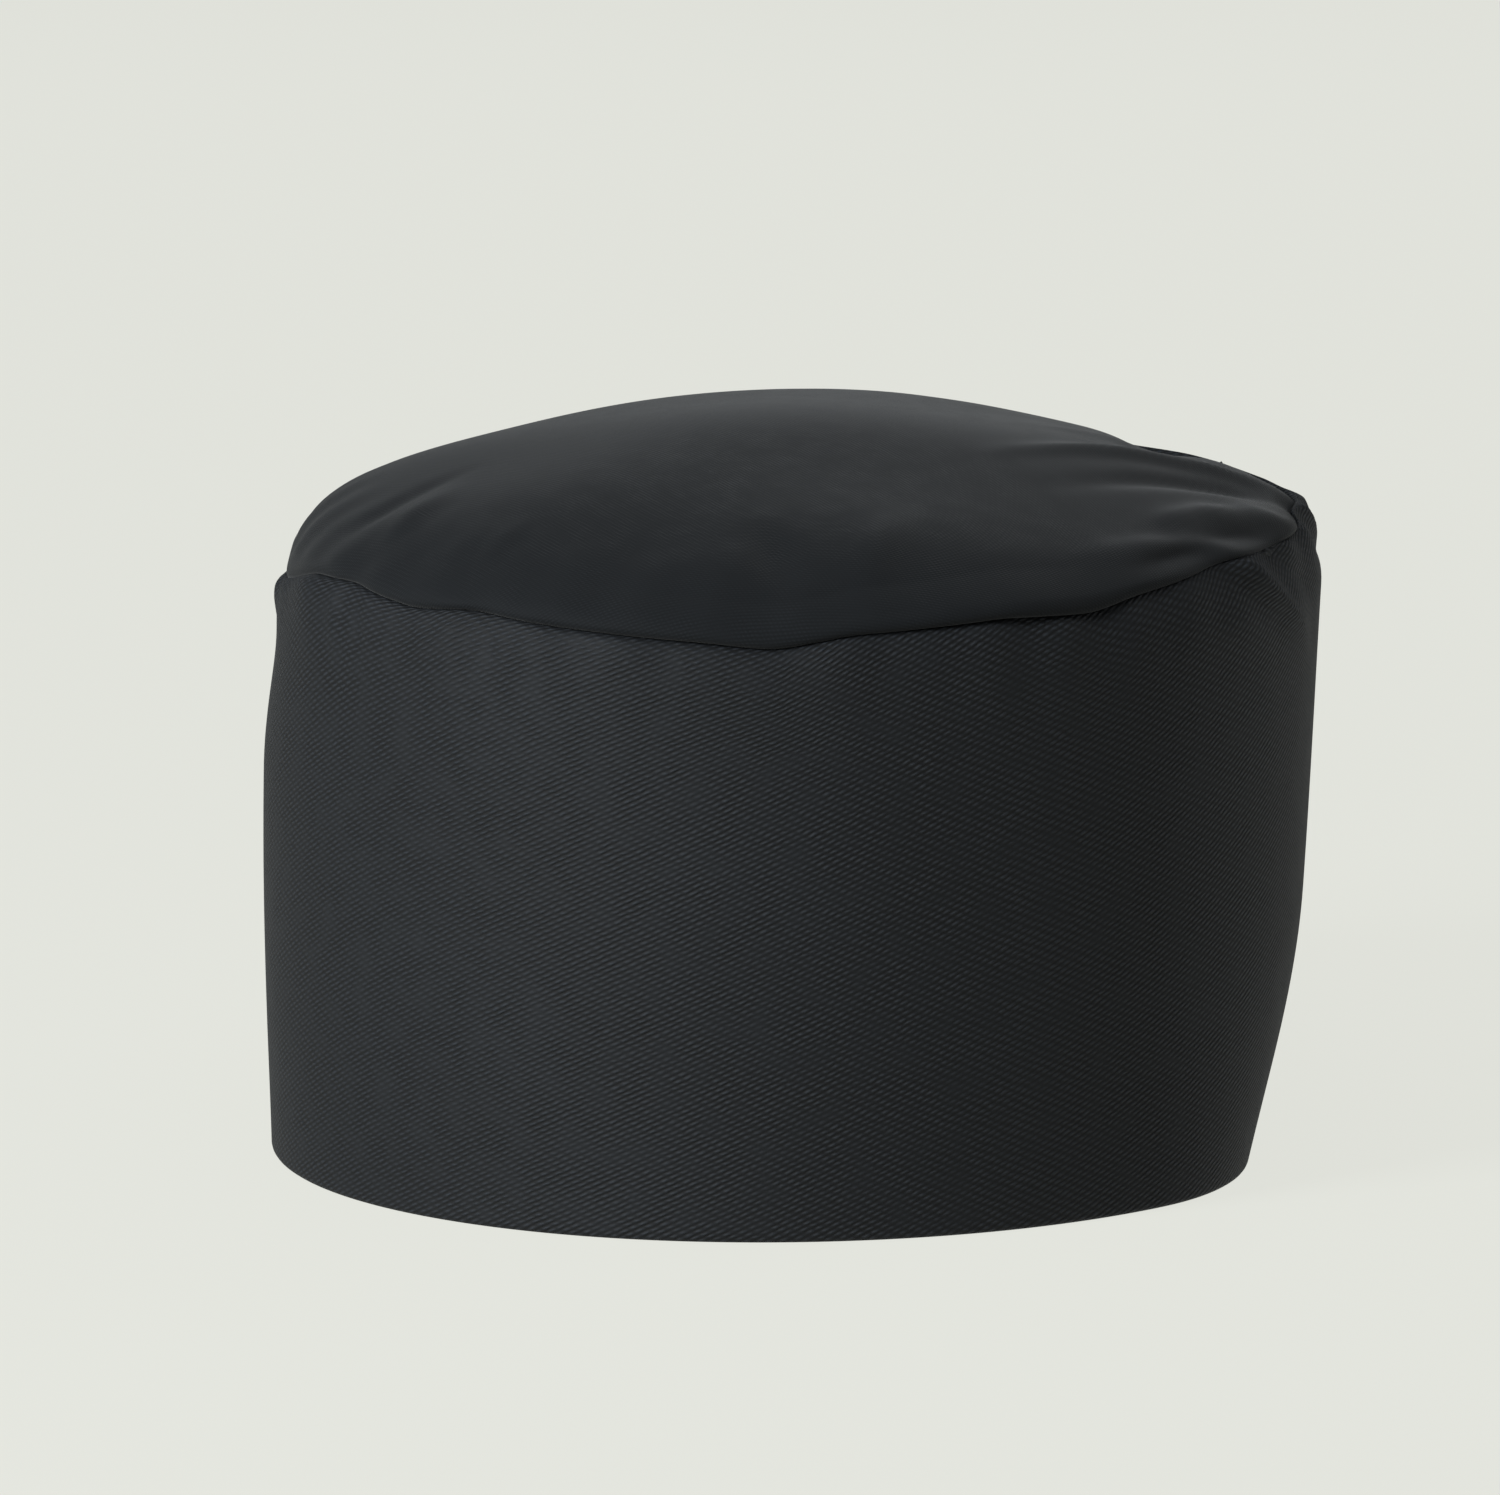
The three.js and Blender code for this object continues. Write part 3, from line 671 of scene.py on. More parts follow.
def join(name, parts):
    """Several meshes as one object."""
    merged = parts[0]
    with bpy.context.temp_override(active_object=merged, selected_editable_objects=parts):
        bpy.ops.object.join()
    merged.name = merged.data.name = name
    return merged


# %% [markdown]
# ## The sweatband
# A strip of cotton towelling is sewn inside the front, where the cap meets the forehead. Its pile is made
# of small loops, so both its sides get a fine seeded lumpiness in the mesh itself, besides the finish.
# Two rows of stitches press into it, and a bar tack closes each end.

# %% Sweatband
lining_inside = 2.2 * mm
towelling = 1.5 * mm
sweat_low, sweat_high = 3 * mm, 36 * mm
sweat_end = math.radians(104)
sweat_angle = eased_ends(-sweat_end, sweat_end, 470, 0.002)
sweat_steps = 46
pile_height = np.random.default_rng(41).normal(0, 1, (len(sweat_angle), 2 * sweat_steps))
stitch_heights = np.array([-1, 1]) * ((sweat_high - sweat_low) / 2 - 3.5 * mm)


def towelling_relief(length, height):
    """Loops of pile, and grooves where the two rows of stitching press it down."""
    grooves = sum(np.exp(-(((height - at) / (0.9 * mm)) ** 2)) for at in stitch_heights)
    return 0.07 * mm * pile_height - 0.45 * mm * grooves


sweat_depth = lining_inside + 0.3 * mm + towelling / 2
sweatband_pile = flat_strip(
    "sweatband_pile", sweat_angle, sweat_low, sweat_high, sweat_depth, towelling,
    steps=sweat_steps, relief=towelling_relief,
)
sweat_face = sweat_depth + towelling / 2 - 0.4 * mm
row_angle = np.linspace(-sweat_end, sweat_end, 300) * 0.98
sweat_middle = (sweat_low + sweat_high) / 2
sweat_rows = [
    stitch_row("sweatband_stitches_" + where, row_angle, sweat_middle + at, sweat_face, inside=True)
    for where, at in zip(["lower", "upper"], stitch_heights)
]


# %% Bar tacks
tack_length, tack_width = 12 * mm, 2 * mm


def bar_tack(name, angle, height, depth, inside=False, upright=True):
    """A dense bar of threads: upright, or level at the top of the arch."""
    count = 26
    along = np.linspace(-tack_length / 2, tack_length / 2, count)
    zigzag = np.where(np.arange(count) % 2, 0.25, -0.25) * mm
    if upright:
        half = tack_width / 2 / half_length
        first = on_cap(angle - half, height + along + zigzag, depth)
        last = on_cap(angle + half, height + along - zigzag, depth)
    else:
        first = on_cap(angle + (along + zigzag) / half_length, height - tack_width / 2, depth)
        last = on_cap(angle + (along - zigzag) / half_length, height + tack_width / 2, depth)
    facing = outwards(np.full(count, angle)) * (-1 if inside else 1)
    out = np.concatenate([facing, np.zeros((count, 1))], 1)
    return threads(name, first, last, out, 0.27 * mm, 0.2 * mm)


tack_angle = sweat_end - 4.0 * mm / half_length
tack_depth = sweat_face + 0.3 * mm
sweat_tacks = [
    bar_tack("sweatband_bar_tack_" + side, sign * tack_angle, sweat_middle, tack_depth, inside=True)
    for side, sign in (("left_end", 1), ("right_end", -1))
]

# %% [markdown]
# ## The strap
# At the back a strap of doubled twill is sewn down on the wearer's left of the slit. It crosses the slit,
# rises over its two tapes and closes on the other side. It is one piece of cloth that stays as it is made:
# the places a few millimetres either side of the CAD model's hinge are worked out, and no blend is made.

# %% Walking along the hem from the middle of the back
strap_low, strap_high = 4 * mm, 30 * mm
strap_middle = (strap_low + strap_high) / 2
back_turn = np.radians(np.linspace(-70, 70, 1121))
back_line = on_cap(np.pi - back_turn, strap_middle, 0)
back_length = np.concatenate([[0], np.cumsum(np.linalg.norm(np.diff(back_line, axis=0), axis=1))])
back_length -= np.interp(0, back_turn, back_length)


def back_angle(along):
    """The angle reached by walking from the middle of the back along the band, positive to the wearer's
    left."""
    return np.pi - np.interp(along, back_length, back_turn)


# %% Strap
strap_root = 16 * mm
sewn_end = 20 * mm
strap_reach = 57 * mm
strap_thickness = 1.0 * mm
sewn_depth, free_depth = -1.3 * mm, -3.7 * mm  # depth of the strap's outer side
strap_along = eased_ends(strap_root + sewn_end, -strap_reach, 190, 0.006)
rise_start, rise_end = strap_root - 0.8 * mm, -strap_root
edge_stitch = 2.0 * mm


def strap_face(along):
    """Depth of the strap's outer face: it rises over its two tapes as it crosses the slit."""
    up = smooth((rise_start - along) / (rise_start - rise_end))
    return sewn_depth + (free_depth - sewn_depth) * up


def strap_relief(length, height):
    """A groove along the edge stitching, the full edges outside it, and a little unevenness."""
    edge = (strap_high - strap_low) / 2 - np.abs(height)
    groove = -0.16 * mm * np.exp(-(((edge - edge_stitch) / (0.7 * mm)) ** 2))
    return groove + 0.05 * mm * mixed_sines(length, height, 23, 6, 30 * mm, 8 * mm)


strap_cloth = flat_strip(
    "strap_cloth", back_angle(strap_along), strap_low, strap_high,
    strap_face(strap_along) + strap_thickness / 2, strap_thickness,
    corner=5 * mm, steps=40, relief=strap_relief,
)


# %% The strap's stitches
def line_on_back(name, start, end, depth_of):
    """Stitches along a straight line on the back: start and end are (along, height)."""
    share = np.linspace(0, 1, 60)
    along = start[0] + (end[0] - start[0]) * share
    height = start[1] + (end[1] - start[1]) * share
    return stitch_row(name, back_angle(along), height, depth_of(along))


def box_of_stitches(name, near, far, low, high, depth_of, crossed=False):
    """Stitches round an oblong, and corner to corner if crossed is true."""
    corners = [(near, low), (far, low), (far, high), (near, high)]
    lines = list(zip(corners, corners[1:] + corners[:1]))
    if crossed:
        lines += [(corners[0], corners[2]), (corners[1], corners[3])]
    return join(name, [line_on_back(name, a, b, depth_of) for a, b in lines])


box_margin = 2.5 * mm
strap_box = box_of_stitches(
    "strap_box_stitches", strap_root + sewn_end - box_margin, strap_root + 3.5 * mm,
    strap_low + box_margin, strap_high - box_margin, strap_face, crossed=True,
)
edge_low, edge_high = strap_low + edge_stitch, strap_high - edge_stitch
free_start, free_end = 11 * mm, -strap_reach + edge_stitch
cut_corner = 3 * mm  # the rows stop short of the strap's rounded corners
edge_lines = [
    ((free_start, edge_low), (free_end + cut_corner, edge_low)),
    ((free_start, edge_high), (free_end + cut_corner, edge_high)),
    ((free_end, edge_low + cut_corner), (free_end, edge_high - cut_corner)),
]
edge_rows = [line_on_back("strap_edge_stitches", start, end, strap_face) for start, end in edge_lines]
strap_edge_stitches = join("strap_edge_stitches", edge_rows)

# %% [markdown]
# ## Hooks and loops
# The tape inside the strap carries rows of small stiff hooks; the tape on the band carries a mat of
# loops. The hooks are threads again, each a small stiff arch, a few hundred in rows. The loops are too
# fine to make one by one, so their mat is a strip with a rough, seeded surface.

# %% Hook tape
hook_start, hook_end = -20 * mm, -54 * mm
hook_low, hook_high = 7 * mm, 27 * mm
hook_back = -2.45 * mm  # depth of the middle of the hooks' woven backing
hook_along = eased_ends(hook_start, hook_end, 60, 0.004)
hook_backing = flat_strip(
    "hook_tape_backing", back_angle(hook_along), hook_low, hook_high,
    np.full(len(hook_along), hook_back), 0.35 * mm, steps=16,
)
hook_pitch = 1.35 * mm
rows_along = np.arange(hook_start - 2.2 * mm, hook_end + 2.0 * mm, -hook_pitch)
rows_up = np.arange(hook_low + 2.2 * mm, hook_high - 2.0 * mm, hook_pitch)
hook_u, hook_v = [grid.reshape(-1) for grid in np.meshgrid(rows_along, rows_up)]
hook_face = hook_back + 0.15 * mm
hook_foot = on_cap(back_angle(hook_u - 0.3 * mm), hook_v, hook_face)
hook_tip = on_cap(back_angle(hook_u + 0.3 * mm), hook_v, hook_face + 0.15 * mm)
hook_out = -np.concatenate([outwards(back_angle(hook_u)), np.zeros((len(hook_u), 1))], 1)
hooks = threads("hooks", hook_foot, hook_tip, hook_out, 0.13 * mm, 0.55 * mm, sides=5)
print(len(hook_u), "hooks")
tape_margin = 1 * mm
hook_stitches = box_of_stitches(
    "hook_tape_stitches", hook_start - tape_margin, hook_end + tape_margin,
    hook_low + tape_margin, hook_high - tape_margin, strap_face,
)

# %% Loop tape
loop_start, loop_end = -16 * mm, -62 * mm
loop_low, loop_high = 4 * mm, 28.5 * mm
loop_along = eased_ends(loop_start, loop_end, 150, 0.006)
loop_steps = 60
mat = np.random.default_rng(52).normal(0, 1, (len(loop_along), 2 * loop_steps))


def loop_relief(length, height):
    """Seeded roughness of the loops, and a groove along each edge where the stitching lies."""
    edge = (loop_high - loop_low) / 2 - np.abs(height)
    woven = smooth((edge - 0.8 * mm) / (0.8 * mm))
    return (0.07 * mm * mat - 0.05 * mm) * woven - 0.2 * mm * (1 - woven)


loop_middle = -0.72 * mm
loop_mat = flat_strip(
    "loop_tape_mat", back_angle(loop_along), loop_low, loop_high, np.full(len(loop_along), loop_middle),
    0.8 * mm, steps=loop_steps, relief=loop_relief,
)


def loop_face(along):
    """Depth of the loop tape's outer face at its stitched edge."""
    return np.full_like(along, loop_middle - 0.25 * mm)


loop_stitches = box_of_stitches(
    "loop_tape_stitches", loop_start - tape_margin, loop_end + tape_margin,
    loop_low + tape_margin, loop_high - tape_margin, loop_face,
)

# %% [markdown]
# ## Stitching round the arch and along the tape, and the care label
# The arch's turned edge is held by a row of stitches with a bar tack at its top, where the strap's pull
# would start a tear. The seam tape has its own row. A blank satin label hangs from the tape with a soft
# curl.

# %% Arch stitches
arch_inset = 1.6 * mm
arch_turn = np.linspace(-1, 1, 240)
arch_low = 3 * mm
arch_lean = np.pi / 2 - math.asin(arch_low / slit_height)
arch_x = (slit_half_width + arch_inset) * np.sin(arch_turn * arch_lean)
arch_h = (slit_height + arch_inset) * np.cos(arch_turn * arch_lean)
arch_angle = np.pi - np.arcsin(arch_x / (half_width - arch_ease * drawn_in(np.pi, arch_h)))
outer_row = stitch_row("arch_stitches", arch_angle, arch_h, np.zeros_like(arch_h))
behind_arch = np.full_like(arch_h, lining_inside)
inner_row = stitch_row("arch_stitches", arch_angle, arch_h, behind_arch, inside=True)
arch_stitches = join("arch_stitches", [outer_row, inner_row])
arch_tack = bar_tack("arch_bar_tack", math.pi, slit_height + 4 * mm, 0, upright=False)

# %% Tape stitches
binding_face = tape_middle + tape_half
round_angle = np.linspace(-np.pi, np.pi, 721)
tape_stitches = stitch_row(
    "seam_tape_stitches", round_angle, np.full_like(round_angle, tape_top - 1.5 * mm),
    np.full_like(round_angle, binding_face), inside=True, place=in_band,
)

# %% Care label
label_angle = math.radians(206)
label_width = 24 * mm
label_drop = 38 * mm
label_top = tape_top - 1.8 * mm
label_low = label_top - label_drop
label_face = binding_face + 0.7 * mm
label_satin = 0.35 * mm
half_turn = label_width / half_width / 2
u, v = np.meshgrid(np.linspace(1, -1, 31), np.linspace(0, 1, 49))
fold_back = np.clip((0.04 - v) / 0.04, 0, 1)
curl = 2.4 * mm * (1 - v) ** 2.2 * (1 + 0.35 * u) + 0.35 * mm * np.sin(2.4 * np.pi * v + u) * (1 - v)
label_depth = label_face + curl - label_satin * fold_back**2
label_points = in_band(label_angle + u * half_turn, label_low + v * label_drop, label_depth)
label_flat = np.stack([-u * label_width / 2, v * label_drop], -1)
care_label_cloth = thicken(surface("care_label_cloth", label_points, label_flat), label_satin)
label_row_angle = label_angle + np.linspace(-0.94, 0.94, 40) * half_turn
label_stitches = stitch_row(
    "care_label_stitches", label_row_angle, np.full_like(label_row_angle, label_top - 1.2 * mm),
    np.full_like(label_row_angle, label_face), pitch=2.2 * mm, inside=True, place=in_band,
)

# %% [markdown]
# ## Black cloth
# Black cotton is not flat black. Its yarns catch light along their length, so twill shows fine diagonal
# ribs, and its short fibres give it a pale sheen where it turns away. The ribs are sine waves across the
# cloth's own UV coordinates. They drive a bump and a small change of colour, and sheen and roughness are
# the same all over.

# %% Helpers for materials
def node(tree, kind, inputs=(), **settings):
    """Adds a shader node, sets its properties, and links or sets its inputs by index or name."""
    made = tree.nodes.new(kind)
    for key, value in settings.items():
        setattr(made, key, value)
    for key, value in dict(inputs).items():
        if isinstance(value, bpy.types.NodeSocket):
            tree.links.new(value, made.inputs[key])
        else:
            made.inputs[key].default_value = value
    return made


def math_node(tree, operation, *values):
    """One Math node, returned as its output."""
    return node(tree, "ShaderNodeMath", dict(enumerate(values)), operation=operation).outputs[0]


def new_material(name, **shader):
    """A Principled material with its uniform settings on the shader's own sockets."""
    material = bpy.data.materials.new(name)
    material.use_nodes = True
    tree = material.node_tree
    principled = tree.nodes["Principled BSDF"]
    for key, value in shader.items():
        principled.inputs[key.replace("_", " ")].default_value = value
    return material, tree, principled


def wave(tree, u, v, along_u, along_v, period):
    """A sine wave across the cloth, from 0 to 1: it advances along the direction (along_u, along_v)."""
    step = math_node(tree, "MULTIPLY_ADD", u, along_u, math_node(tree, "MULTIPLY", v, along_v))
    turn = math_node(tree, "MULTIPLY", step, 2 * math.pi / period)
    return math_node(tree, "MULTIPLY_ADD", math_node(tree, "SINE", turn), 0.5, 0.5)


def weave_material(name, dark, light, rib_angle, rib, float_length, bump, patch=0.25, **shader):
    """A woven cloth in its UV map: diagonal ribs one rib apart, broken into floats of yarn that step
    along from rib to rib. A noise of a few millimetres makes the floats clearer in some places than in
    others."""
    material, tree, principled = new_material(name, **shader)
    uv = node(tree, "ShaderNodeUVMap", uv_map="cloth").outputs[0]
    slub = node(tree, "ShaderNodeTexNoise", {"Vector": uv, "Scale": 420.0, "Detail": 3.0}).outputs[0]
    clear = node(tree, "ShaderNodeTexNoise", {"Vector": uv, "Scale": 160.0, "Detail": 2.0}).outputs[0]
    patches = node(tree, "ShaderNodeTexNoise", {"Vector": uv, "Scale": 22.0, "Detail": 4.0}).outputs[0]
    split = node(tree, "ShaderNodeSeparateXYZ", {0: uv}).outputs
    shift = math_node(tree, "MULTIPLY", math_node(tree, "SUBTRACT", slub, 0.5), rib)
    u = math_node(tree, "ADD", split[0], shift)
    v = math_node(tree, "ADD", split[1], shift)
    sine, cosine = math.sin(math.radians(rib_angle)), math.cos(math.radians(rib_angle))
    ribs = wave(tree, u, v, -sine, cosine, rib)
    step = 0.4 * float_length / rib  # each rib's floats start this much further along than the last one's
    floats = wave(tree, u, v, cosine - step * sine, sine + step * cosine, float_length)
    broken = math_node(tree, "MULTIPLY", ribs, math_node(tree, "MULTIPLY_ADD", floats, 0.65, 0.35))
    middle_shade = 0.34  # the mean of the broken ribs
    centred = math_node(tree, "SUBTRACT", broken, middle_shade)
    strength = math_node(tree, "MULTIPLY_ADD", clear, 2.6, -0.3)
    woven = math_node(tree, "MULTIPLY_ADD", centred, strength, middle_shade)
    shade = math_node(tree, "MULTIPLY_ADD", math_node(tree, "SUBTRACT", patches, 0.5), patch, woven)
    mix = node(tree, "ShaderNodeMix", {"Factor": shade, "A": dark, "B": light}, data_type="RGBA")
    tree.links.new(mix.outputs["Result"], principled.inputs["Base Color"])
    lumps = math_node(tree, "MULTIPLY_ADD", slub, 0.35, woven)
    raised = node(tree, "ShaderNodeBump", {"Strength": 1.0, "Distance": bump, "Height": lumps})
    tree.links.new(raised.outputs[0], principled.inputs["Normal"])
    return material


# %% The black cloths
twill_cloth = weave_material(
    "black_twill", (0.0006, 0.0009, 0.0013, 1), (0.0158, 0.0190, 0.0240, 1),
    rib_angle=26, rib=0.95 * mm, float_length=2.1 * mm, bump=0.19 * mm,
    Roughness=0.74, Specular_IOR_Level=0.28,
)
crown_twill = weave_material(
    "black_crown_cloth", (0.0032, 0.0040, 0.0050, 1), (0.0070, 0.0085, 0.0103, 1),
    rib_angle=58, rib=0.5 * mm, float_length=0.9 * mm, bump=0.035 * mm,
    Roughness=0.8, Specular_IOR_Level=0.15, Sheen_Weight=0.085, Sheen_Roughness=0.45,
)

# %% The inner cloths
lining_finish = weave_material(
    "black_lining", (0.012, 0.012, 0.013, 1), (0.024, 0.0245, 0.026, 1),
    rib_angle=0, rib=0.42 * mm, float_length=0.84 * mm, bump=0.05 * mm,
    Roughness=0.6, Specular_IOR_Level=0.35, Sheen_Weight=0.08, Sheen_Roughness=0.4,
)
interlining_finish = weave_material(
    "interlining_canvas", (0.05, 0.05, 0.048, 1), (0.10, 0.10, 0.096, 1),
    rib_angle=0, rib=0.8 * mm, float_length=1.6 * mm, bump=0.1 * mm,
    Roughness=0.85, Specular_IOR_Level=0.2,
)
tape_finish = weave_material(
    "black_cotton_tape", (0.010, 0.010, 0.011, 1), (0.034, 0.035, 0.036, 1),
    rib_angle=45, rib=1.1 * mm, float_length=2.0 * mm, bump=0.12 * mm,
    Roughness=0.7, Specular_IOR_Level=0.3, Sheen_Weight=0.1, Sheen_Roughness=0.5,
)
label_finish = weave_material(
    "label_satin", (0.50, 0.50, 0.49, 1), (0.66, 0.66, 0.645, 1),
    rib_angle=3, rib=0.30 * mm, float_length=0.9 * mm, bump=0.02 * mm, patch=0.5,
    Roughness=0.34, Specular_IOR_Level=0.5, Sheen_Weight=0.1, Sheen_Roughness=0.3,
)


def pile_material(name, dark, light, size, bump, **shader):
    """Pile: lumps of one size in a noise field over Object coordinates, in colour and in bump."""
    material, tree, principled = new_material(name, **shader)
    place = node(tree, "ShaderNodeTexCoord").outputs["Object"]
    lumps = node(tree, "ShaderNodeTexVoronoi", {"Vector": place, "Scale": 1 / size}).outputs["Distance"]
    finer = 2.5 / size
    fuzz = node(tree, "ShaderNodeTexNoise", {"Vector": place, "Scale": finer, "Detail": 4.0}).outputs[0]
    both = math_node(tree, "MULTIPLY_ADD", fuzz, 0.8, math_node(tree, "MULTIPLY", lumps, -0.7))
    shade = math_node(tree, "ADD", both, 0.45)
    mix = node(tree, "ShaderNodeMix", {"Factor": shade, "A": dark, "B": light}, data_type="RGBA")
    tree.links.new(mix.outputs["Result"], principled.inputs["Base Color"])
    raised = node(tree, "ShaderNodeBump", {"Strength": 1.0, "Distance": bump, "Height": both})
    tree.links.new(raised.outputs[0], principled.inputs["Normal"])
    return material


towelling_finish = pile_material(
    "black_towelling", (0.007, 0.007, 0.0075, 1), (0.036, 0.037, 0.039, 1), 0.9 * mm, 0.5 * mm,
    Roughness=0.95, Specular_IOR_Level=0.15, Sheen_Weight=0.35, Sheen_Roughness=0.7,
)
loop_finish = pile_material(
    "loop_pile", (0.008, 0.008, 0.0085, 1), (0.040, 0.041, 0.043, 1), 0.5 * mm, 0.25 * mm,
    Roughness=0.8, Specular_IOR_Level=0.3, Sheen_Weight=0.4, Sheen_Roughness=0.6,
)
hook_finish = pile_material(
    "hook_plastic", (0.010, 0.010, 0.010, 1), (0.020, 0.020, 0.021, 1), 0.6 * mm, 0.03 * mm,
    Roughness=0.42, Specular_IOR_Level=0.5,
)
thread_finish = pile_material(
    "black_thread", (0.012, 0.012, 0.013, 1), (0.045, 0.046, 0.048, 1), 0.25 * mm, 0.05 * mm,
    Roughness=0.5, Specular_IOR_Level=0.45, Sheen_Weight=0.1, Sheen_Roughness=0.4,
)

# %% Who wears which finish, rides on which body and stands for which CAD node
thread_slot = (thread_finish, "thread")
twill_slot = (twill_cloth, "twill")
outfit = [
    (band_cloth, twill_slot, "cap", ["band_shell"]),
    (crown_cloth, (crown_twill, "twill"), "cap", ["crown_panel"]),
    (interlining_cloth, (interlining_finish, "interlining"), "cap", ["band_interlining"]),
    (lining_cloth, (lining_finish, "lining"), "cap", ["band_lining"]),
    (seam_tape, (tape_finish, "binding"), "cap", ["crown_seam_binding"]),
    (tape_stitches, thread_slot, "cap", ["binding_stitch_row"]),
    (sweatband_pile, (towelling_finish, "towelling"), "cap", ["sweatband"]),
    (sweat_rows[0], thread_slot, "cap", ["sweatband_stitch_lower"]),
    (sweat_rows[1], thread_slot, "cap", ["sweatband_stitch_upper"]),
    (sweat_tacks[0], thread_slot, "cap", ["sweatband_bar_tack_left"]),
    (sweat_tacks[1], thread_slot, "cap", ["sweatband_bar_tack_right"]),
    (arch_stitches, thread_slot, "cap", ["slit_stitch_row"]),
    (arch_tack, thread_slot, "cap", ["slit_bar_tack"]),
    (strap_box, thread_slot, "cap", ["strap_box_stitch"]),
    (loop_mat, (loop_finish, "loop_tape"), "cap", ["loop_tape"]),
    (loop_stitches, thread_slot, "cap", ["loop_tape_stitch"]),
    (strap_cloth, twill_slot, None, ["strap_sewn_end", "closure_strap"]),
    (strap_edge_stitches, thread_slot, "strap", []),
    (hook_backing, (hook_finish, "hook_tape"), "strap", ["hook_tape"]),
    (hooks, (hook_finish, "hook_tape"), "strap", []),
    (hook_stitches, thread_slot, "strap", ["hook_tape_stitch"]),
    (care_label_cloth, (label_finish, "label_satin"), None, ["care_label"]),
    (label_stitches, thread_slot, "cap", []),
]
for piece, (finish, slot_name), body, nodes in outfit:
    piece.data.materials.clear()
    piece.data.materials.append(finish)
    if nodes:
        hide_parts(*nodes)
    if body:
        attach(piece, body)

# %% [markdown]
# The size each sheet of cloth was cut to is listed and printed. The sizes come from the grids themselves:
# the length of the cloth along its rows and columns.

# %% Flat sizes of the cloths
band_girth = float(walked_table[-1] - walked_table[0])
column_lengths = np.linalg.norm(np.diff(crown_points, axis=0), axis=-1).sum(0)
quarter = len(crown_angle) // 4
crown_width = float(column_lengths[quarter] + column_lengths[3 * quarter])
crown_length = float(column_lengths[0] + column_lengths[2 * quarter])
crown_area = math.pi / 4 * crown_width * crown_length
sweat_length = float(2 * along_band(sweat_end))
strap_length = float(strap_root + sewn_end + strap_reach)
flat_sizes = [
    (band_cloth, (strip_width, band_girth), "folded", [], None),
    (crown_cloth, (crown_width, crown_length), "stretched", [band_cloth], crown_area),
    (interlining_cloth, (interlining_high - interlining_low, band_girth), "laid", [band_cloth], None),
    (lining_cloth, (lining_high - lining_low, band_girth), "laid", [interlining_cloth], None),
    (seam_tape, (float(tape_girth[-1]), band_girth), "folded", [crown_cloth], None),
    (sweatband_pile, (sweat_high - sweat_low, sweat_length), "laid", [lining_cloth], None),
    (strap_cloth, (strap_high - strap_low, strap_length), "laid", [band_cloth, loop_mat], None),
    (hook_backing, (hook_high - hook_low, hook_start - hook_end), "laid", [strap_cloth], None),
    (loop_mat, (loop_high - loop_low, loop_start - loop_end), "laid", [band_cloth], None),
    (care_label_cloth, (label_width, label_drop), "hung", [seam_tape], None),
]
for piece, flat_size, held, under, area in flat_sizes:
    print(piece.name, "was cut", [round(side / mm) for side in flat_size], "mm")

# %% Places either side of the strap's fold
still_along, swinging_along = 19.5 * mm, 12.0 * mm  # on either side of the fold
blend_start = on_cap(back_angle(still_along), strap_middle, sewn_depth)
blend_end = on_cap(back_angle(swinging_along), strap_middle, sewn_depth)
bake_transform(strap_cloth)

# %% Places on the label below the stitches that hold its top
still_drop, swinging_drop = 2.0 * mm, 6.5 * mm  # how far down the label each begins
label_start = in_band(label_angle, label_top - still_drop, label_face)
label_end = in_band(label_angle, label_top - swinging_drop, label_face)
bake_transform(care_label_cloth)
bend_heights = [round(end[2] / mm, 1) for end in (label_end, label_start)]
print("the label bends between these heights in mm:", bend_heights)

# %% [markdown]
# ## Room, lights and camera
# A pale floor that hardly shows a shadow, a tall soft light from the forehead's side, a wide one above
# and two weak ones that draw the back's edges. The long lens keeps the cap's sides nearly parallel. The
# floor is seen from above only, so that the inside of the cap can be looked at from below.

# %% Floor
floor_colour = (0.752, 0.761, 0.708)
floor_share, floor_glow = 0.06, 0.97  # the floor mostly glows, so that hardly a shadow falls on it
floor_half = 6.0
floor_mesh = bpy.data.meshes.new("floor")
corner_signs = [(-1, -1), (1, -1), (1, 1), (-1, 1)]
floor_mesh.from_pydata([(x * floor_half, y * floor_half, 0) for x, y in corner_signs], [], [(0, 1, 2, 3)])
floor = bpy.data.objects.new("floor", floor_mesh)
bpy.context.scene.collection.objects.link(floor)
floor_paint, floor_tree, floor_shader = new_material("pale_floor", Roughness=1.0, Specular_IOR_Level=0.0)
floor_shader.inputs["Base Color"].default_value = (*(floor_share * c for c in floor_colour), 1)
floor_shader.inputs["Emission Color"].default_value = (*floor_colour, 1)
floor_shader.inputs["Emission Strength"].default_value = floor_glow
below = node(floor_tree, "ShaderNodeNewGeometry").outputs["Backfacing"]
see_through = node(floor_tree, "ShaderNodeBsdfTransparent").outputs[0]
one_sided = node(floor_tree, "ShaderNodeMixShader", {0: below, 1: floor_shader.outputs[0], 2: see_through})
floor_tree.links.new(one_sided.outputs[0], floor_tree.nodes["Material Output"].inputs[0])
floor_mesh.materials.append(floor_paint)

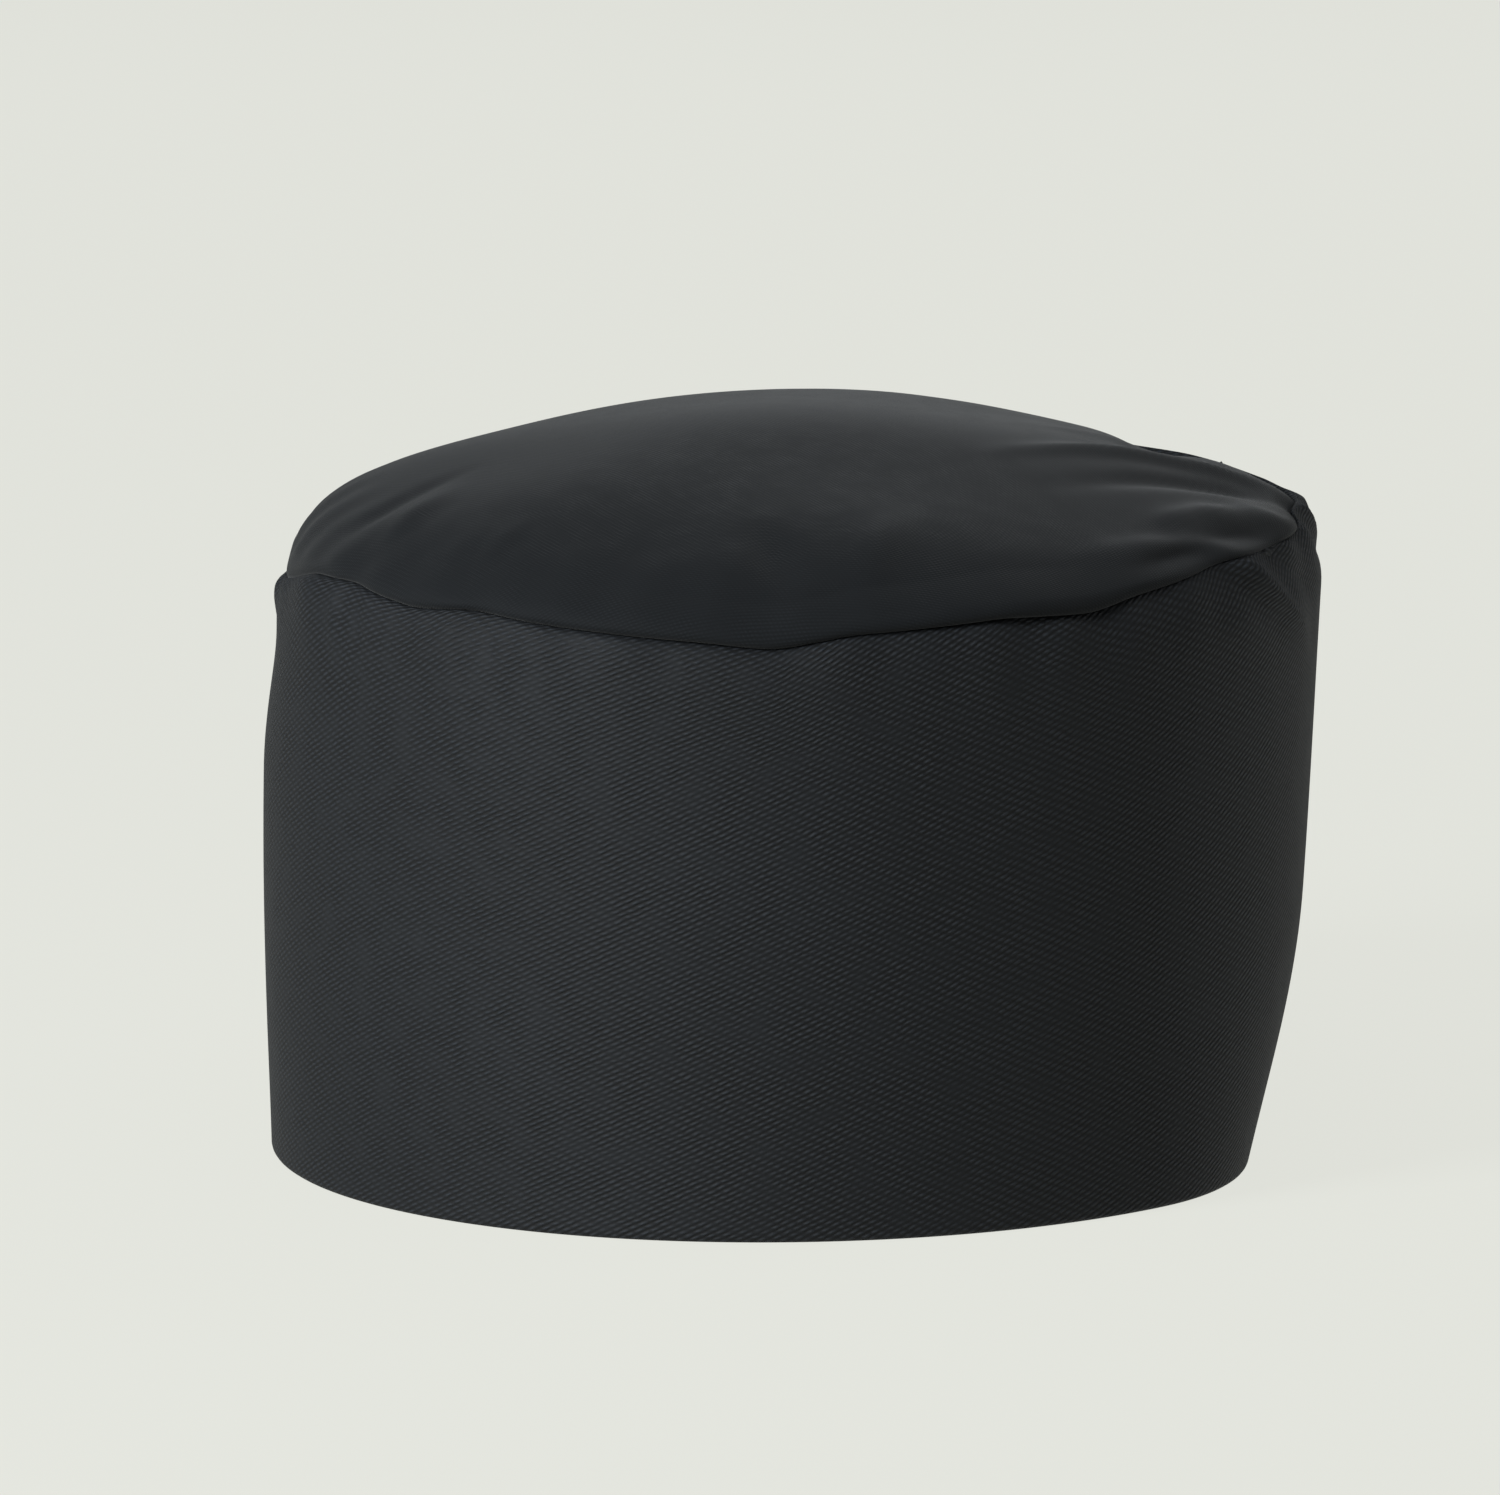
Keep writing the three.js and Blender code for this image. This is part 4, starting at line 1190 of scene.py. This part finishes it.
# %% Lights
scene = bpy.context.scene
scene.view_settings.view_transform = "Standard"
world = bpy.data.worlds.new("studio")
world.use_nodes = True
room = world.node_tree.nodes["Background"]
room.inputs["Color"].default_value = (0.95, 0.98, 1.0, 1)
room.inputs["Strength"].default_value = 0.07
scene.world = world
aim = Vector((0, middle_y, 0.07))
daylight = (0.94, 0.98, 1.0)


def towards(azimuth, elevation):
    """Unit vector from the cap: azimuth in degrees from the forehead to the wearer's left, then
    elevation."""
    a, e = math.radians(azimuth), math.radians(elevation)
    return Vector((math.sin(a) * math.cos(e), -math.cos(a) * math.cos(e), math.sin(e)))


def soft_light(name, azimuth, elevation, distance, width, height, power):
    """A rectangular light that points at the cap from a distance, in watts."""
    place = towards(azimuth, elevation) * distance
    light = bpy.data.lights.new(name, "AREA")
    light.shape = "RECTANGLE"
    light.size, light.size_y, light.energy = width, height, power
    light.color = daylight
    lamp = bpy.data.objects.new(name, light)
    lamp.location = aim + place
    lamp.rotation_euler = (-place).to_track_quat("-Z", "Y").to_euler()
    lamp.visible_camera = False
    scene.collection.objects.link(lamp)


# name, azimuth, elevation, distance, width, height, power
for light_row in [
    ("key_light", 6, 26, 1.6, 0.4, 0.9, 36),
    ("top_light", 60, 82, 1.5, 1.2, 1.2, 6),
    ("edge_light", 165, 22, 1.6, 0.4, 1.0, 3),
    ("back_light", 237, 17, 1.8, 1.6, 0.6, 3.5),
]:
    soft_light(*light_row)

# %% Camera
camera_distance = 2.6
camera_azimuth, camera_elevation = 57, 10.33
looks_left, looks_up = 9.3 * mm, 6.9 * mm  # how far the view's middle lies from the cap's
back = towards(camera_azimuth, camera_elevation)
right = Vector((-back.y, back.x, 0)).normalized()
up = back.cross(right)
camera_data = bpy.data.cameras.new("camera")
camera_data.lens = 320.0
camera_data.clip_start, camera_data.clip_end = 0.1, 40
camera = bpy.data.objects.new("camera", camera_data)
looked_at = Vector((0, 0, 0.07)) - right * looks_left + up * looks_up
camera.location = looked_at + back * camera_distance
camera.rotation_euler = (-back).to_track_quat("-Z", "Y").to_euler()
scene.collection.objects.link(camera)
scene.camera = camera
